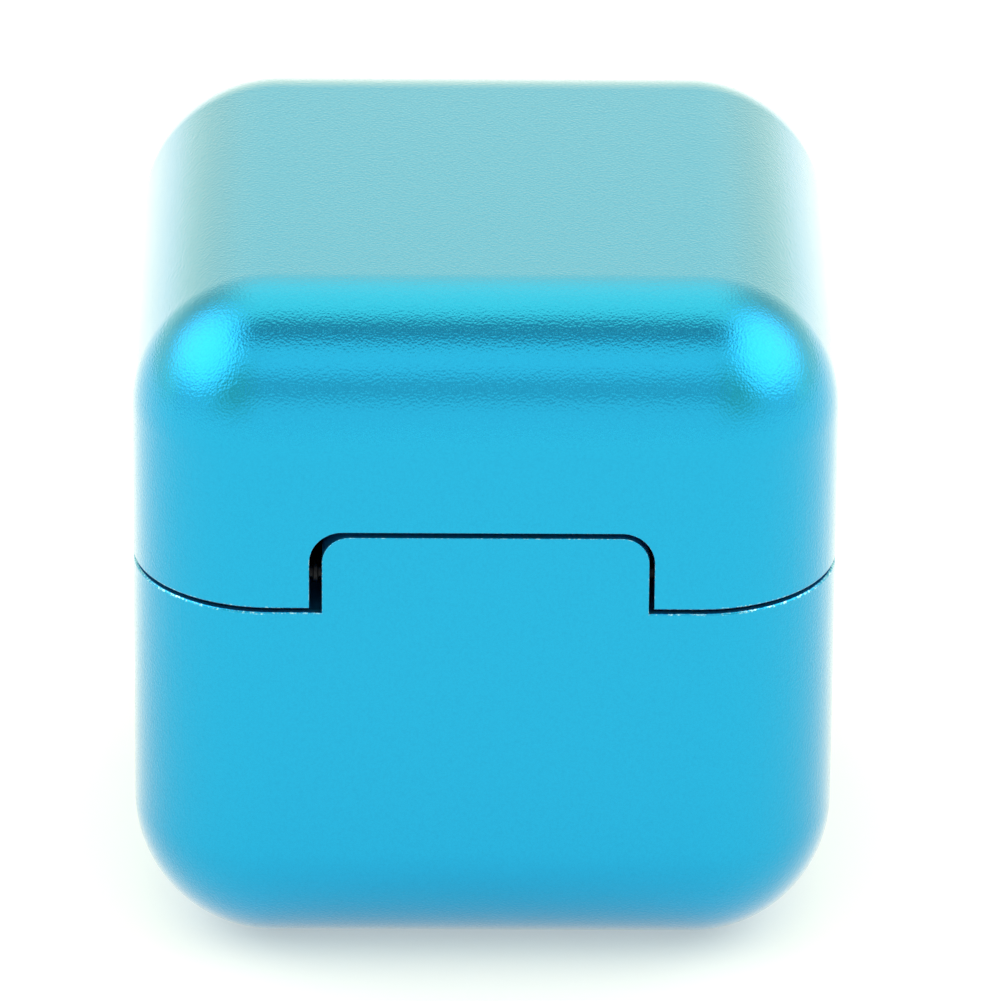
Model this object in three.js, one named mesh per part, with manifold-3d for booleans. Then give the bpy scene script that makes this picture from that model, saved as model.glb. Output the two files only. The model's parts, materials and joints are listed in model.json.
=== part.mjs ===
// A flip-lid fidget cube: two machined aluminium shells that hinge on a hidden spring bar behind a
// lug in one wall, snap shut on magnets in the opposite wall, and hold a lined square pocket.
// Millimetres, +Z up. The origin is the centre of the underside. The hinge is on the -Y side and
// its axis runs along X.
import * as THREE from "three";
import { RoundedBoxGeometry } from "three/addons/geometries/RoundedBoxGeometry.js";
import { mergeVertices } from "three/addons/utils/BufferGeometryUtils.js";
import Module from "manifold-3d";

const wasm = await Module();
wasm.setup();

// ---- Driving dimensions -----------------------------------------------------------------------
// The cube
const WIDTH = 33;
const DEPTH = 35;
const HEIGHT = 33.5;
const EDGE_R = 6.6;
const PARTING_Z = 19.25; // middle of the gap between the shells
const PARTING_GAP = 0.18;

// The pocket that both shells share
const SIDE_WALL = 4.5;
const END_WALL = 5.5; // hinge wall and magnet wall
const FLOOR = 4;
const CEILING = 4;
const POCKET_R = 3;

// The lip that stands on the base's rim and seats in a rebate in the lid
const LIP_WALL = 1.2;
const LIP_HEIGHT = 0.9;
const LIP_CLEAR = 0.12; // beside the lip and over it
const LIP_START = 1.7; // distance from the hinge wall's inner face to the lip's front ends

// The hinge lug on the base and its notch in the lid
const LUG_WIDTH = 15.2;
const LUG_RISE = 3.76; // above PARTING_Z
const LUG_CORNER_R = 1.3;
const LUG_EDGE = 0.15; // edge break along the lug's top
const LUG_GAP_LEFT = 0.58; // room for the tool that draws the spring bar's tip back
const LUG_GAP_RIGHT = 0.24;
const LUG_GAP_TOP = 0.24;
const HINGE_INSET = 1.0; // axis behind the hinge wall's outer face
const HINGE_RISE = 1.6; // axis above PARTING_Z
const RELIEF_LAND = 0.3; // rim left at full height in front of the relief
const RELIEF_DEPTH = 0.2; // lets the lid's front edge swing down as it opens

// The spring bar
const BORE_R = 0.6; // in the lug and in the ears
const BAR_CLEAR = 0.05; // around the barrel and around a bush
const TIP_R = 0.33;
const TIP_CLEAR = 0.04; // around a tip, in the barrel and in a bush
const FLANGE_CLEAR = 0.1; // around a flange, in the lug's bore
const FLANGE_T = 0.24;
const TIP_REACH = 1.3; // how far each tip stands in its ear
const TIP_PARKED = 0.1; // how far a tip drawn right back stands clear of its ear
const TIP_GUIDE = 1.7; // length of a tip inside the barrel
const BUSH_LENGTH = 1.5;
const BUSH_INSET = 0.05;
const SPRING_WIRE_R = 0.07;
const SPRING_TURNS = 13;

// Magnets, bumpers and screws
const MAGNET_R = 1.5;
const MAGNET_LENGTH = 3;
const MAGNET_X = 6.5;
const MAGNET_SINK = 0.1; // below the rim
const BUMPER_R = 1.2;
const BUMPER_LENGTH = 0.9;
const BUMPER_PROUD = 0.15;
const SCREW_HEAD_R = 1.8;
const SCREW_HEAD = 0.8;
const SCREW_SHANK_R = 1.0;
const SCREW_LENGTH = 3;
const SCREW_INSET = 3.9; // from the liner's inner wall to the screw's axis
const SCREW_SOCKET_R = 0.72;
const SCREW_SOCKET_DEPTH = 0.5;

// Liners and pads
const LINER_WALL = 1;
const LINER_DROP = 0.25; // liner's rim below the base's rim
const PAD_THICK = 1.2;
const PAD_CLEAR = 0.2; // around a pad

// Clearances
const FIT = 0.05; // around a piece set into a blind hole
const LINER_FIT = 0.1; // between a liner and its shell
const HOLE_EXTRA = 0.1; // a blind hole's depth past what it holds
const THROUGH = 1; // how far a cutter runs past a face

// ---- Places worked out from them --------------------------------------------------------------
const FRONT = -DEPTH / 2;
const HINGE_Y = FRONT + HINGE_INSET;
const HINGE_Z = PARTING_Z + HINGE_RISE;
const BASE_RIM = PARTING_Z - PARTING_GAP / 2;
const LID_RIM = PARTING_Z + PARTING_GAP / 2;
const LUG_TOP = PARTING_Z + LUG_RISE;
const NOTCH_TOP = LUG_TOP + LUG_GAP_TOP;
const LUG_LEFT = -LUG_WIDTH / 2;
const LUG_RIGHT = LUG_WIDTH / 2;
const EAR_LEFT = LUG_LEFT - LUG_GAP_LEFT;
const EAR_RIGHT = LUG_RIGHT + LUG_GAP_RIGHT;
const POCKET_W = WIDTH - 2 * SIDE_WALL;
const POCKET_D = DEPTH - 2 * END_WALL;
const POCKET_TOP = HEIGHT - CEILING;
const LIP_TOP = BASE_RIM + LIP_HEIGHT;
const REBATE_TOP = LIP_TOP + LIP_CLEAR;
const MAGNET_Y = (POCKET_D / 2 + LIP_WALL + DEPTH / 2) / 2;
const LINER_W = POCKET_W - 2 * LINER_FIT;
const LINER_D = POCKET_D - 2 * LINER_FIT;
const LINER_R = POCKET_R - LINER_FIT;
const SCREW_X = LINER_W / 2 - LINER_WALL - SCREW_INSET;

// ---- Finishes ---------------------------------------------------------------------------------
const finish = (color, roughness, metalness) =>
  new THREE.MeshStandardMaterial({ color, roughness, metalness });
const ANODISED = finish(0x1fb4e0, 0.38, 0.85);
const SPRING_STEEL = finish(0xb9bdc2, 0.3, 1);
const BLACKED_STEEL = finish(0x26272a, 0.4, 0.9);
const ACETAL = finish(0x101113, 0.35, 0);
const NICKEL = finish(0xc9c7c0, 0.2, 1);
const LINER = finish(0x17181a, 0.6, 0);
const FELT = finish(0x2b2d31, 0.95, 0);
const SILICONE = finish(0x33363a, 0.7, 0);

// ---- Solids -----------------------------------------------------------------------------------
const CURVE_SEGMENTS = 8; // per quarter turn of an outline's corner
const ROUND_SEGMENTS = 24;
const SMALL_SEGMENTS = 16;
const SHELL_SEGMENTS = 5; // per eighth turn of the cube's edges

/** A closed three.js geometry as a manifold-3d solid. */
function solid(geometry) {
  const bare = geometry.clone();
  bare.deleteAttribute("normal");
  bare.deleteAttribute("uv");
  const merged = mergeVertices(bare);
  return new wasm.Manifold(
    new wasm.Mesh({
      numProp: 3,
      vertProperties: merged.attributes.position.array,
      triVerts: new Uint32Array(merged.index.array),
    }),
  );
}

/** A manifold-3d solid as a three.js geometry. */
function geometryOf(body) {
  const mesh = body.getMesh();
  const points = new Float32Array(mesh.numVert * 3);
  for (let i = 0; i < mesh.numVert; i++) {
    points.set(mesh.vertProperties.subarray(i * mesh.numProp, i * mesh.numProp + 3), i * 3);
  }
  const geometry = new THREE.BufferGeometry();
  geometry.setAttribute("position", new THREE.BufferAttribute(points, 3));
  geometry.setIndex(new THREE.BufferAttribute(mesh.triVerts, 1));
  geometry.computeVertexNormals();
  return geometry;
}

/** A box between two corners. */
function block(low, high) {
  const size = high.map((v, i) => v - low[i]);
  const middle = high.map((v, i) => (v + low[i]) / 2);
  return solid(new THREE.BoxGeometry(...size).translate(...middle));
}

/** A rectangle with round corners, centred on the origin. */
function roundedRect(width, depth, radius) {
  const x = width / 2;
  const y = depth / 2;
  const outline = new THREE.Shape();
  outline.moveTo(x - radius, -y);
  outline.absarc(x - radius, -y + radius, radius, -Math.PI / 2, 0);
  outline.absarc(x - radius, y - radius, radius, 0, Math.PI / 2);
  outline.absarc(-x + radius, y - radius, radius, Math.PI / 2, Math.PI);
  outline.absarc(-x + radius, -y + radius, radius, Math.PI, 1.5 * Math.PI);
  return outline;
}

/** An outline in X and Y made a solid between two heights. */
function upright(outline, bottom, top) {
  const geometry = new THREE.ExtrudeGeometry(outline, {
    depth: top - bottom,
    bevelEnabled: false,
    curveSegments: CURVE_SEGMENTS,
  });
  return solid(geometry.translate(0, 0, bottom));
}

/** A square-cornered column with round upright edges. */
const column = (width, depth, radius, bottom, top) =>
  upright(roundedRect(width, depth, radius), bottom, top);

/** An upright cylinder between two heights. */
function post(x, y, radius, bottom, top, segments = ROUND_SEGMENTS) {
  const geometry = new THREE.CylinderGeometry(radius, radius, top - bottom, segments);
  return solid(geometry.rotateX(Math.PI / 2).translate(x, y, (bottom + top) / 2));
}

/** A cylinder on the hinge axis between two places along X. */
function hingeRod(left, right, radius) {
  const geometry = new THREE.CylinderGeometry(radius, radius, right - left, SMALL_SEGMENTS);
  return solid(geometry.rotateZ(Math.PI / 2).translate((left + right) / 2, HINGE_Y, HINGE_Z));
}

/** A tab seen from the front: straight sides and a top with round corners, right through Y. */
function tab(left, right, bottom, top, radius) {
  const outline = new THREE.Shape();
  outline.moveTo(left, bottom);
  outline.lineTo(right, bottom);
  outline.lineTo(right, top - radius);
  outline.absarc(right - radius, top - radius, radius, 0, Math.PI / 2);
  outline.lineTo(left + radius, top);
  outline.absarc(left + radius, top - radius, radius, Math.PI / 2, Math.PI);
  const geometry = new THREE.ExtrudeGeometry(outline, {
    depth: DEPTH,
    bevelEnabled: false,
    curveSegments: CURVE_SEGMENTS,
  });
  // Standing the outline up turns its depth towards -Y.
  return solid(geometry.rotateX(Math.PI / 2).translate(0, FRONT - THROUGH + DEPTH, 0));
}

/** The lug's section across the hinge: its back is an arc about the hinge axis, so it turns clear. */
function lugSection() {
  const front = FRONT - THROUGH;
  const arcR = END_WALL - HINGE_INSET;
  const arcStart = Math.asin((LUG_TOP - HINGE_Z) / arcR);
  const outline = new THREE.Shape();
  outline.moveTo(front, BASE_RIM - THROUGH);
  outline.lineTo(HINGE_Y + arcR, BASE_RIM - THROUGH);
  outline.absarc(HINGE_Y, HINGE_Z, arcR, 0, arcStart);
  outline.lineTo(FRONT + LUG_EDGE, LUG_TOP);
  outline.lineTo(FRONT, LUG_TOP - LUG_EDGE);
  outline.lineTo(front, LUG_TOP - LUG_EDGE);
  const geometry = new THREE.ExtrudeGeometry(outline, {
    depth: LUG_WIDTH + 2 * THROUGH,
    bevelEnabled: false,
    curveSegments: CURVE_SEGMENTS,
  });
  // The outline's own X and Y become the part's Y and Z, and its depth runs along X.
  const turn = new THREE.Matrix4().makeBasis(
    new THREE.Vector3(0, 1, 0),
    new THREE.Vector3(0, 0, 1),
    new THREE.Vector3(1, 0, 0),
  );
  return solid(geometry.applyMatrix4(turn).translate(-LUG_WIDTH / 2 - THROUGH, 0, 0));
}

/** The whole rounded cube, before it is parted. */
const cube = solid(
  new RoundedBoxGeometry(WIDTH, DEPTH, HEIGHT, SHELL_SEGMENTS, EDGE_R).translate(0, 0, HEIGHT / 2),
);

/** Everything between two heights, wider than the cube. */
const slab = (bottom, top) =>
  block([-WIDTH, -DEPTH, bottom], [WIDTH, DEPTH, top]);

/** Calls make with -1 and 1 and joins what it gives. */
const pair = (make) => make(-1).add(make(1));

/** Where a bumper stands: midway across the rim at a back corner. */
function bumperPlace() {
  const diagonal = Math.SQRT1_2;
  const outer = [WIDTH / 2 - EDGE_R * (1 - diagonal), DEPTH / 2 - EDGE_R * (1 - diagonal)];
  const lip = (POCKET_R + LIP_WALL) * diagonal;
  const inner = [POCKET_W / 2 - POCKET_R + lip, POCKET_D / 2 - POCKET_R + lip];
  return outer.map((v, i) => (v + inner[i]) / 2);
}
const [BUMPER_X, BUMPER_Y] = bumperPlace();

// ---- The shells -------------------------------------------------------------------------------
/** The lower shell: pocket, lip, hinge lug with its bore, and holes for what is set into it. */
function baseShell() {
  const relief = column(
    WIDTH - 2 * RELIEF_LAND,
    DEPTH - 2 * RELIEF_LAND,
    EDGE_R - RELIEF_LAND,
    BASE_RIM - RELIEF_DEPTH,
    BASE_RIM + THROUGH,
  ).subtract(block([-WIDTH, -POCKET_D / 2, 0], [WIDTH, DEPTH, HEIGHT]));
  const lug = tab(LUG_LEFT, LUG_RIGHT, BASE_RIM - THROUGH, LUG_TOP, LUG_CORNER_R)
    .intersect(lugSection());
  const lip = column(
    POCKET_W + 2 * LIP_WALL,
    POCKET_D + 2 * LIP_WALL,
    POCKET_R + LIP_WALL,
    BASE_RIM - THROUGH,
    LIP_TOP,
  ).subtract(block([-WIDTH, -DEPTH, 0], [WIDTH, LIP_START - POCKET_D / 2, HEIGHT]));
  const magnets = pair((side) =>
    post(side * MAGNET_X, MAGNET_Y, MAGNET_R + FIT, baseMagnetBottom - HOLE_EXTRA, LIP_TOP));
  const bumpers = pair((side) =>
    post(side * BUMPER_X, BUMPER_Y, BUMPER_R + FIT, bumperBottom - HOLE_EXTRA, LIP_TOP));
  const screws = pair((side) =>
    post(side * SCREW_X, 0, SCREW_SHANK_R + FIT, baseScrewBottom - HOLE_EXTRA, FLOOR + THROUGH));
  return cube
    .intersect(slab(-THROUGH, BASE_RIM).subtract(relief).add(lug).add(lip))
    .subtract(column(POCKET_W, POCKET_D, POCKET_R, FLOOR, HEIGHT))
    .subtract(hingeRod(LUG_LEFT - THROUGH, LUG_RIGHT + THROUGH, BORE_R))
    .subtract(magnets)
    .subtract(bumpers)
    .subtract(screws);
}

/** The upper shell: pocket, rebate for the lip, notch for the lug, and the ears' blind bores. */
function lidShell() {
  const notch = tab(EAR_LEFT, EAR_RIGHT, 0, NOTCH_TOP, LUG_CORNER_R + LUG_GAP_TOP)
    .subtract(block([-WIDTH, 0, 0], [WIDTH, DEPTH, HEIGHT]));
  const rebate = column(
    POCKET_W + 2 * (LIP_WALL + LIP_CLEAR),
    POCKET_D + 2 * (LIP_WALL + LIP_CLEAR),
    POCKET_R + LIP_WALL + LIP_CLEAR,
    LID_RIM - THROUGH,
    REBATE_TOP,
  );
  const earBore = hingeRod(
    EAR_LEFT - BUSH_LENGTH - BUSH_INSET - HOLE_EXTRA,
    EAR_RIGHT + BUSH_LENGTH + BUSH_INSET + HOLE_EXTRA,
    BORE_R,
  );
  const magnets = pair((side) =>
    post(side * MAGNET_X, MAGNET_Y, MAGNET_R + FIT, LID_RIM - THROUGH, lidMagnetTop + HOLE_EXTRA));
  const screws = pair((side) =>
    post(side * SCREW_X, 0, SCREW_SHANK_R + FIT, POCKET_TOP - THROUGH, lidScrewTop + HOLE_EXTRA));
  return cube
    .intersect(slab(LID_RIM, HEIGHT + THROUGH))
    .subtract(column(POCKET_W, POCKET_D, POCKET_R, 0, POCKET_TOP))
    .subtract(rebate)
    .subtract(notch)
    .subtract(earBore)
    .subtract(magnets)
    .subtract(screws);
}

// ---- Liners, pads, magnets, bumpers and screws -------------------------------------------------
const baseLinerBottom = FLOOR + FIT;
const baseLinerFloor = baseLinerBottom + LINER_WALL;
const baseLinerTop = BASE_RIM - LINER_DROP;
const lidLinerTop = POCKET_TOP - FIT;
const lidLinerCeiling = lidLinerTop - LINER_WALL;
const lidLinerBottom = REBATE_TOP + LIP_CLEAR;
const baseMagnetBottom = BASE_RIM - MAGNET_SINK - MAGNET_LENGTH;
const lidMagnetTop = LID_RIM + MAGNET_SINK + MAGNET_LENGTH;
const bumperBottom = BASE_RIM + BUMPER_PROUD - BUMPER_LENGTH;
const baseScrewBottom = baseLinerFloor - SCREW_LENGTH;
const lidScrewTop = lidLinerCeiling + SCREW_LENGTH;

/** A liner: a square cup with a wall of even thickness, open between inside and mouth. */
function liner(closed, inside, mouth) {
  const [bottom, top] = [Math.min(closed, mouth), Math.max(closed, mouth)];
  const out = Math.sign(mouth - inside) * THROUGH;
  const hollow = [inside, mouth + out].sort((a, b) => a - b);
  const seat = Math.sign(inside - closed);
  const heads = pair((side) => screwSpace(side * SCREW_X, inside, -seat));
  return column(LINER_W, LINER_D, LINER_R, bottom, top)
    .subtract(
      column(
        LINER_W - 2 * LINER_WALL,
        LINER_D - 2 * LINER_WALL,
        LINER_R - LINER_WALL,
        ...hollow,
      ),
    )
    .subtract(heads);
}

/** A countersunk screw's outline about its axis, from the middle of its point to that of its head. */
function screwProfile(clearance) {
  return [
    [0, -SCREW_LENGTH],
    [SCREW_SHANK_R + clearance, -SCREW_LENGTH],
    [SCREW_SHANK_R + clearance, -SCREW_HEAD],
    [SCREW_HEAD_R + clearance, 0],
    [0, 0],
  ].map(([r, h]) => new THREE.Vector2(r, h));
}

/** A screw-shaped solid with its head at a height, pointing up or down. */
function screwSolid(x, head, direction, clearance) {
  const geometry = new THREE.LatheGeometry(screwProfile(clearance), ROUND_SEGMENTS);
  // The lathe turns about Y, and a quarter turn brings the head to face away from direction.
  geometry.rotateX(direction < 0 ? Math.PI / 2 : -Math.PI / 2);
  return solid(geometry.translate(x, 0, head));
}

/** The hole that a liner leaves for a screw: its own shape and a little air over the head. */
const screwSpace = (x, head, direction) =>
  screwSolid(x, head, direction, FIT).add(
    post(x, 0, SCREW_HEAD_R + FIT, head - FIT, head + FIT),
  );

/** A countersunk screw with a hexagonal socket, its head flush with the liner. */
function screw(x, head, direction) {
  const depth = direction * SCREW_SOCKET_DEPTH;
  const low = Math.min(head + depth, head - depth);
  const socket = post(x, 0, SCREW_SOCKET_R, low, low + 2 * SCREW_SOCKET_DEPTH, 6);
  return screwSolid(x, head, direction, 0).subtract(socket);
}

/** A pad that fills a liner's floor or ceiling. */
const pad = (bottom) =>
  column(
    LINER_W - 2 * LINER_WALL - 2 * PAD_CLEAR,
    LINER_D - 2 * LINER_WALL - 2 * PAD_CLEAR,
    LINER_R - LINER_WALL - PAD_CLEAR,
    bottom,
    bottom + PAD_THICK,
  );

// ---- The spring bar ---------------------------------------------------------------------------
const barR = BORE_R - BAR_CLEAR;
const guideR = TIP_R + TIP_CLEAR;
const flangeR = BORE_R - FLANGE_CLEAR;
const tipTravel = TIP_REACH + TIP_PARKED;
const leftTipEnd = EAR_LEFT - TIP_REACH;
const rightTipEnd = EAR_RIGHT + TIP_REACH;
const leftFlange = LUG_LEFT - LUG_GAP_LEFT / 2 - FLANGE_T / 2; // outer face, in the wide gap
const barrelLeft = leftFlange + FLANGE_T + tipTravel + FIT;
const barrelRight = LUG_RIGHT - FLANGE_T;
const slidingTipInner = barrelLeft + TIP_GUIDE;
const fixedTipInner = barrelRight - TIP_GUIDE;

/** The barrel: a plain tube fixed in the lug. */
const hingeBarrel = () =>
  hingeRod(barrelLeft, barrelRight, barR)
    .subtract(hingeRod(barrelLeft - THROUGH, barrelRight + THROUGH, guideR));

/** The tip that a tool draws back: pivot, flange in the gap, and the shaft that the spring pushes. */
const slidingTip = () =>
  hingeRod(leftTipEnd, slidingTipInner, TIP_R)
    .add(hingeRod(leftFlange, leftFlange + FLANGE_T, flangeR));

/** The tip crimped into the barrel's other end. */
const fixedTip = () =>
  hingeRod(fixedTipInner, rightTipEnd, TIP_R)
    .add(hingeRod(barrelRight + FIT, barrelRight + FLANGE_T, flangeR));

/** A bush in an ear, which a tip turns in. */
function earBush(side) {
  const face = side < 0 ? EAR_LEFT : EAR_RIGHT;
  const ends = [face + side * BUSH_INSET, face + side * (BUSH_INSET + BUSH_LENGTH)];
  const [left, right] = ends.sort((a, b) => a - b);
  return hingeRod(left, right, barR)
    .subtract(hingeRod(left - THROUGH, right + THROUGH, guideR));
}

/** The coil spring between the two tips. */
function hingeSpring() {
  const left = slidingTipInner + FIT + SPRING_WIRE_R;
  const right = fixedTipInner - FIT - SPRING_WIRE_R;
  const coilR = guideR - FIT / 2 - SPRING_WIRE_R;
  const stepsPerTurn = 10;
  const points = [];
  for (let i = 0; i <= SPRING_TURNS * stepsPerTurn; i++) {
    const turn = (2 * Math.PI * i) / stepsPerTurn;
    const x = left + ((right - left) * i) / (SPRING_TURNS * stepsPerTurn);
    points.push(
      new THREE.Vector3(x, HINGE_Y + coilR * Math.cos(turn), HINGE_Z + coilR * Math.sin(turn)),
    );
  }
  const wire = new THREE.Shape();
  wire.absarc(0, 0, SPRING_WIRE_R, 0, 2 * Math.PI);
  return solid(
    new THREE.ExtrudeGeometry(wire, {
      steps: SPRING_TURNS * stepsPerTurn,
      extrudePath: new THREE.CatmullRomCurve3(points),
      curveSegments: 3,
      bevelEnabled: false,
    }),
  );
}

// ---- Assembly ---------------------------------------------------------------------------------
const fidgetCube = new THREE.Group();
const base = new THREE.Group();
const lid = new THREE.Group();
fidgetCube.add(base, lid);

/** Adds a named piece to a group. */
function add(group, name, body, material) {
  const mesh = new THREE.Mesh(geometryOf(body), material);
  mesh.name = name;
  group.add(mesh);
}

add(base, "base_shell", baseShell(), ANODISED);
add(base, "base_liner", liner(baseLinerBottom, baseLinerFloor, baseLinerTop), LINER);
add(base, "base_pad", pad(baseLinerFloor + FIT), FELT);
add(base, "hinge_barrel", hingeBarrel(), BLACKED_STEEL);
add(base, "hinge_fixed_tip", fixedTip(), BLACKED_STEEL);
add(base, "hinge_sliding_tip", slidingTip(), BLACKED_STEEL);
add(base, "hinge_spring", hingeSpring(), SPRING_STEEL);

add(lid, "lid_shell", lidShell(), ANODISED);
add(lid, "lid_liner", liner(lidLinerTop, lidLinerCeiling, lidLinerBottom), LINER);
add(lid, "lid_pad", pad(lidLinerCeiling - FIT - PAD_THICK), FELT);

for (const [word, side] of [["left", -1], ["right", 1]]) {
  const x = side * MAGNET_X;
  const screwX = side * SCREW_X;
  const baseMagnet = post(x, MAGNET_Y, MAGNET_R, baseMagnetBottom, BASE_RIM - MAGNET_SINK);
  const lidMagnet = post(x, MAGNET_Y, MAGNET_R, LID_RIM + MAGNET_SINK, lidMagnetTop);
  const bumper = post(side * BUMPER_X, BUMPER_Y, BUMPER_R, bumperBottom, BASE_RIM + BUMPER_PROUD);
  add(base, `base_magnet_${word}`, baseMagnet, NICKEL);
  add(base, `rim_bumper_${word}`, bumper, SILICONE);
  add(base, `base_liner_screw_${word}`, screw(screwX, baseLinerFloor, -1), BLACKED_STEEL);
  add(lid, `lid_magnet_${word}`, lidMagnet, NICKEL);
  add(lid, `lid_liner_screw_${word}`, screw(screwX, lidLinerCeiling, 1), BLACKED_STEEL);
  add(lid, `ear_bush_${word}`, earBush(side), ACETAL);
}

export default fidgetCube;
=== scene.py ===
"""A flip-lid fidget cube in blasted, anodised aluminium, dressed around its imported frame.

The cube's two shells hinge on a hidden spring bar, close on magnets and share a lined pocket.
Pieces are built in millimetres and turned to metres when they are finished. The frame's axes are
kept: +Z is up, the hinge is on the -Y side, and its axis runs along X.
"""

import json
import logging
import math
from dataclasses import dataclass
from enum import Enum
from typing import Any, Iterable, Sequence

import bmesh
import bpy
import numpy as np
from mathutils import Matrix, Vector


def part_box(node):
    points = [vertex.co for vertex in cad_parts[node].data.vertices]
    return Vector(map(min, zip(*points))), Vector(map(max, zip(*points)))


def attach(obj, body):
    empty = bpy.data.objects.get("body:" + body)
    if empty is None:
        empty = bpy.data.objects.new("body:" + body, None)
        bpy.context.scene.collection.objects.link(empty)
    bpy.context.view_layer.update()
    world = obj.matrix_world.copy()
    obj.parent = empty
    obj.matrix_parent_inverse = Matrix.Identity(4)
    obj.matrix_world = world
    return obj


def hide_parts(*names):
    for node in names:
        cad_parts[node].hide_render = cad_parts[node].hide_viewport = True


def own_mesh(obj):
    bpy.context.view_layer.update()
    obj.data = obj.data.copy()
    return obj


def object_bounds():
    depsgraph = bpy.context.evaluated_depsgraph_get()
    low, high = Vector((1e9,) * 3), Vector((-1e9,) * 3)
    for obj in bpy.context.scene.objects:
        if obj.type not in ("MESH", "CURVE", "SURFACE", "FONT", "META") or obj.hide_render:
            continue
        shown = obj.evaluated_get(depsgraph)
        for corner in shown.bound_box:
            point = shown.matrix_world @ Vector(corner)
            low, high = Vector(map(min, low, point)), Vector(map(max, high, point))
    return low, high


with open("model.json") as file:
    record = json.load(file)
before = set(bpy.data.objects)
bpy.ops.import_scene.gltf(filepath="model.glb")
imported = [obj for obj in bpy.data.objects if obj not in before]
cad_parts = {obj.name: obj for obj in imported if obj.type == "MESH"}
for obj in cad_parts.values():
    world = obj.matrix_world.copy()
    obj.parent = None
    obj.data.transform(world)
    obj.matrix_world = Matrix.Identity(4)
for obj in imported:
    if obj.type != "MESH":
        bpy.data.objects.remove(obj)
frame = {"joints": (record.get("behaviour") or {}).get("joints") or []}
FRAME_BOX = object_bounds()

LOG = logging.getLogger("fidget_cube")
MM = 0.001
SAME_PLACE_MM = 1e-5


# ---- Options ------------------------------------------------------------------------------------
class Body(Enum):
    """The bodies of the frame that pieces ride on."""

    BASE = "base"
    LID = "lid"
    TIP = "sliding_tip"


class Operation(Enum):
    """What a tool does to a workpiece."""

    CUT = "DIFFERENCE"
    WELD = "UNION"
    KEEP = "INTERSECT"


class Side(Enum):
    """The two sides of the hinge, as signs along X."""

    LEFT = -1
    RIGHT = 1

    @property
    def word(self) -> str:
        """The side's word in the names of nodes."""
        return self.name.lower()


# ---- Meshes -------------------------------------------------------------------------------------
def linear(colour: str) -> tuple[float, float, float, float]:
    """Turns an sRGB hex colour to linear.

    Args:
        colour: Six hex digits after a hash sign.

    Returns:
        Red, green, blue and an alpha of one.
    """
    parts = [int(colour[i : i + 2], 16) / 255 for i in (1, 3, 5)]
    low = [p / 12.92 if p <= 0.04045 else ((p + 0.055) / 1.055) ** 2.4 for p in parts]
    return (*low, 1.0)


def mesh_of(name: str, points: np.ndarray, faces: Iterable[Sequence[int]]) -> bpy.types.Mesh:
    """Makes a closed mesh whose faces point outwards.

    Args:
        name: The mesh's name.
        points: One row of X, Y and Z for each vertex.
        faces: The vertices of each face.

    Returns:
        The mesh, with vertices that share a place joined.
    """
    mesh = bpy.data.meshes.new(name)
    mesh.from_pydata(np.asarray(points).tolist(), [], [list(f) for f in faces])
    work = bmesh.new()
    work.from_mesh(mesh)
    bmesh.ops.remove_doubles(work, verts=work.verts, dist=SAME_PLACE_MM)
    bmesh.ops.recalc_face_normals(work, faces=work.faces)
    work.to_mesh(mesh)
    work.free()
    return mesh


def loft(name: str, rings: Sequence[np.ndarray]) -> bpy.types.Mesh:
    """Skins a stack of rings that have the same number of points, and caps both ends."""
    count = len(rings[0])
    around = np.arange(count)
    ahead = (around + 1) % count
    faces: list[Sequence[int]] = [around[::-1].tolist()]
    for level in range(len(rings) - 1):
        low, high = level * count, (level + 1) * count
        faces += np.stack([low + around, low + ahead, high + ahead, high + around], 1).tolist()
    faces.append((around + (len(rings) - 1) * count).tolist())
    return mesh_of(name, np.concatenate(rings), faces)


def turned(name: str, outline: Sequence[tuple[float, float]], steps: int) -> bpy.types.Mesh:
    """Turns an outline about Z on a lathe.

    Args:
        name: The mesh's name.
        outline: Radius and height of each point, going round the section's outline.
        steps: Faces in a full turn.

    Returns:
        A closed mesh. An outline that touches the axis at both ends is a solid disc, and one that
        stays clear of it closes on itself as a ring.
    """
    turn = np.linspace(0, 2 * math.pi, steps, endpoint=False)
    rows = [np.stack([r * np.cos(turn), r * np.sin(turn), np.full(steps, z)], 1) for r, z in outline]
    solid = outline[0][0] == 0
    spans = range(len(rows) - 1) if solid else range(len(rows))
    around = np.arange(steps)
    ahead = (around + 1) % steps
    faces = []
    for span in spans:
        low, high = span * steps, (span + 1) % len(rows) * steps
        faces += np.stack([low + around, low + ahead, high + ahead, high + around], 1).tolist()
    return mesh_of(name, np.concatenate(rows), faces)


def rounded_outline(half_x: float, half_y: float, radius: float, steps: int = 24) -> np.ndarray:
    """The points of a rectangle with round corners, centred on the origin, anticlockwise."""
    corners = []
    for quarter, (sx, sy) in enumerate(((1, 1), (-1, 1), (-1, -1), (1, -1))):
        turn = np.linspace(quarter, quarter + 1, steps + 1) * math.pi / 2
        centre = np.array([sx * (half_x - radius), sy * (half_y - radius)])
        corners.append(centre + radius * np.stack([np.cos(turn), np.sin(turn)], 1))
    return np.concatenate(corners)


def at_height(outline: np.ndarray, height: float) -> np.ndarray:
    """Lifts a flat outline to a height."""
    return np.column_stack([outline, np.full(len(outline), height)])


def eased_corner(radius: float, facets: int = 4) -> list[tuple[float, float]]:
    """The corners of the straight cuts that ease an edge to about a radius.

    Args:
        radius: The radius that the cuts lie outside of and touch.
        facets: How many cuts there are.

    Returns:
        Pairs of inset from the wall and depth below the end face, from the wall to the end face.
    """
    angles = [math.pi / 2 * k / (facets + 1) for k in range(facets + 2)]
    found = []
    for a, b in zip(angles, angles[1:]):
        sides = np.array([[math.cos(a), math.sin(a)], [math.cos(b), math.sin(b)]])
        reach = radius * (sides.sum(1) - 1)
        found.append(tuple(np.linalg.solve(sides, reach)))
    return found


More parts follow.
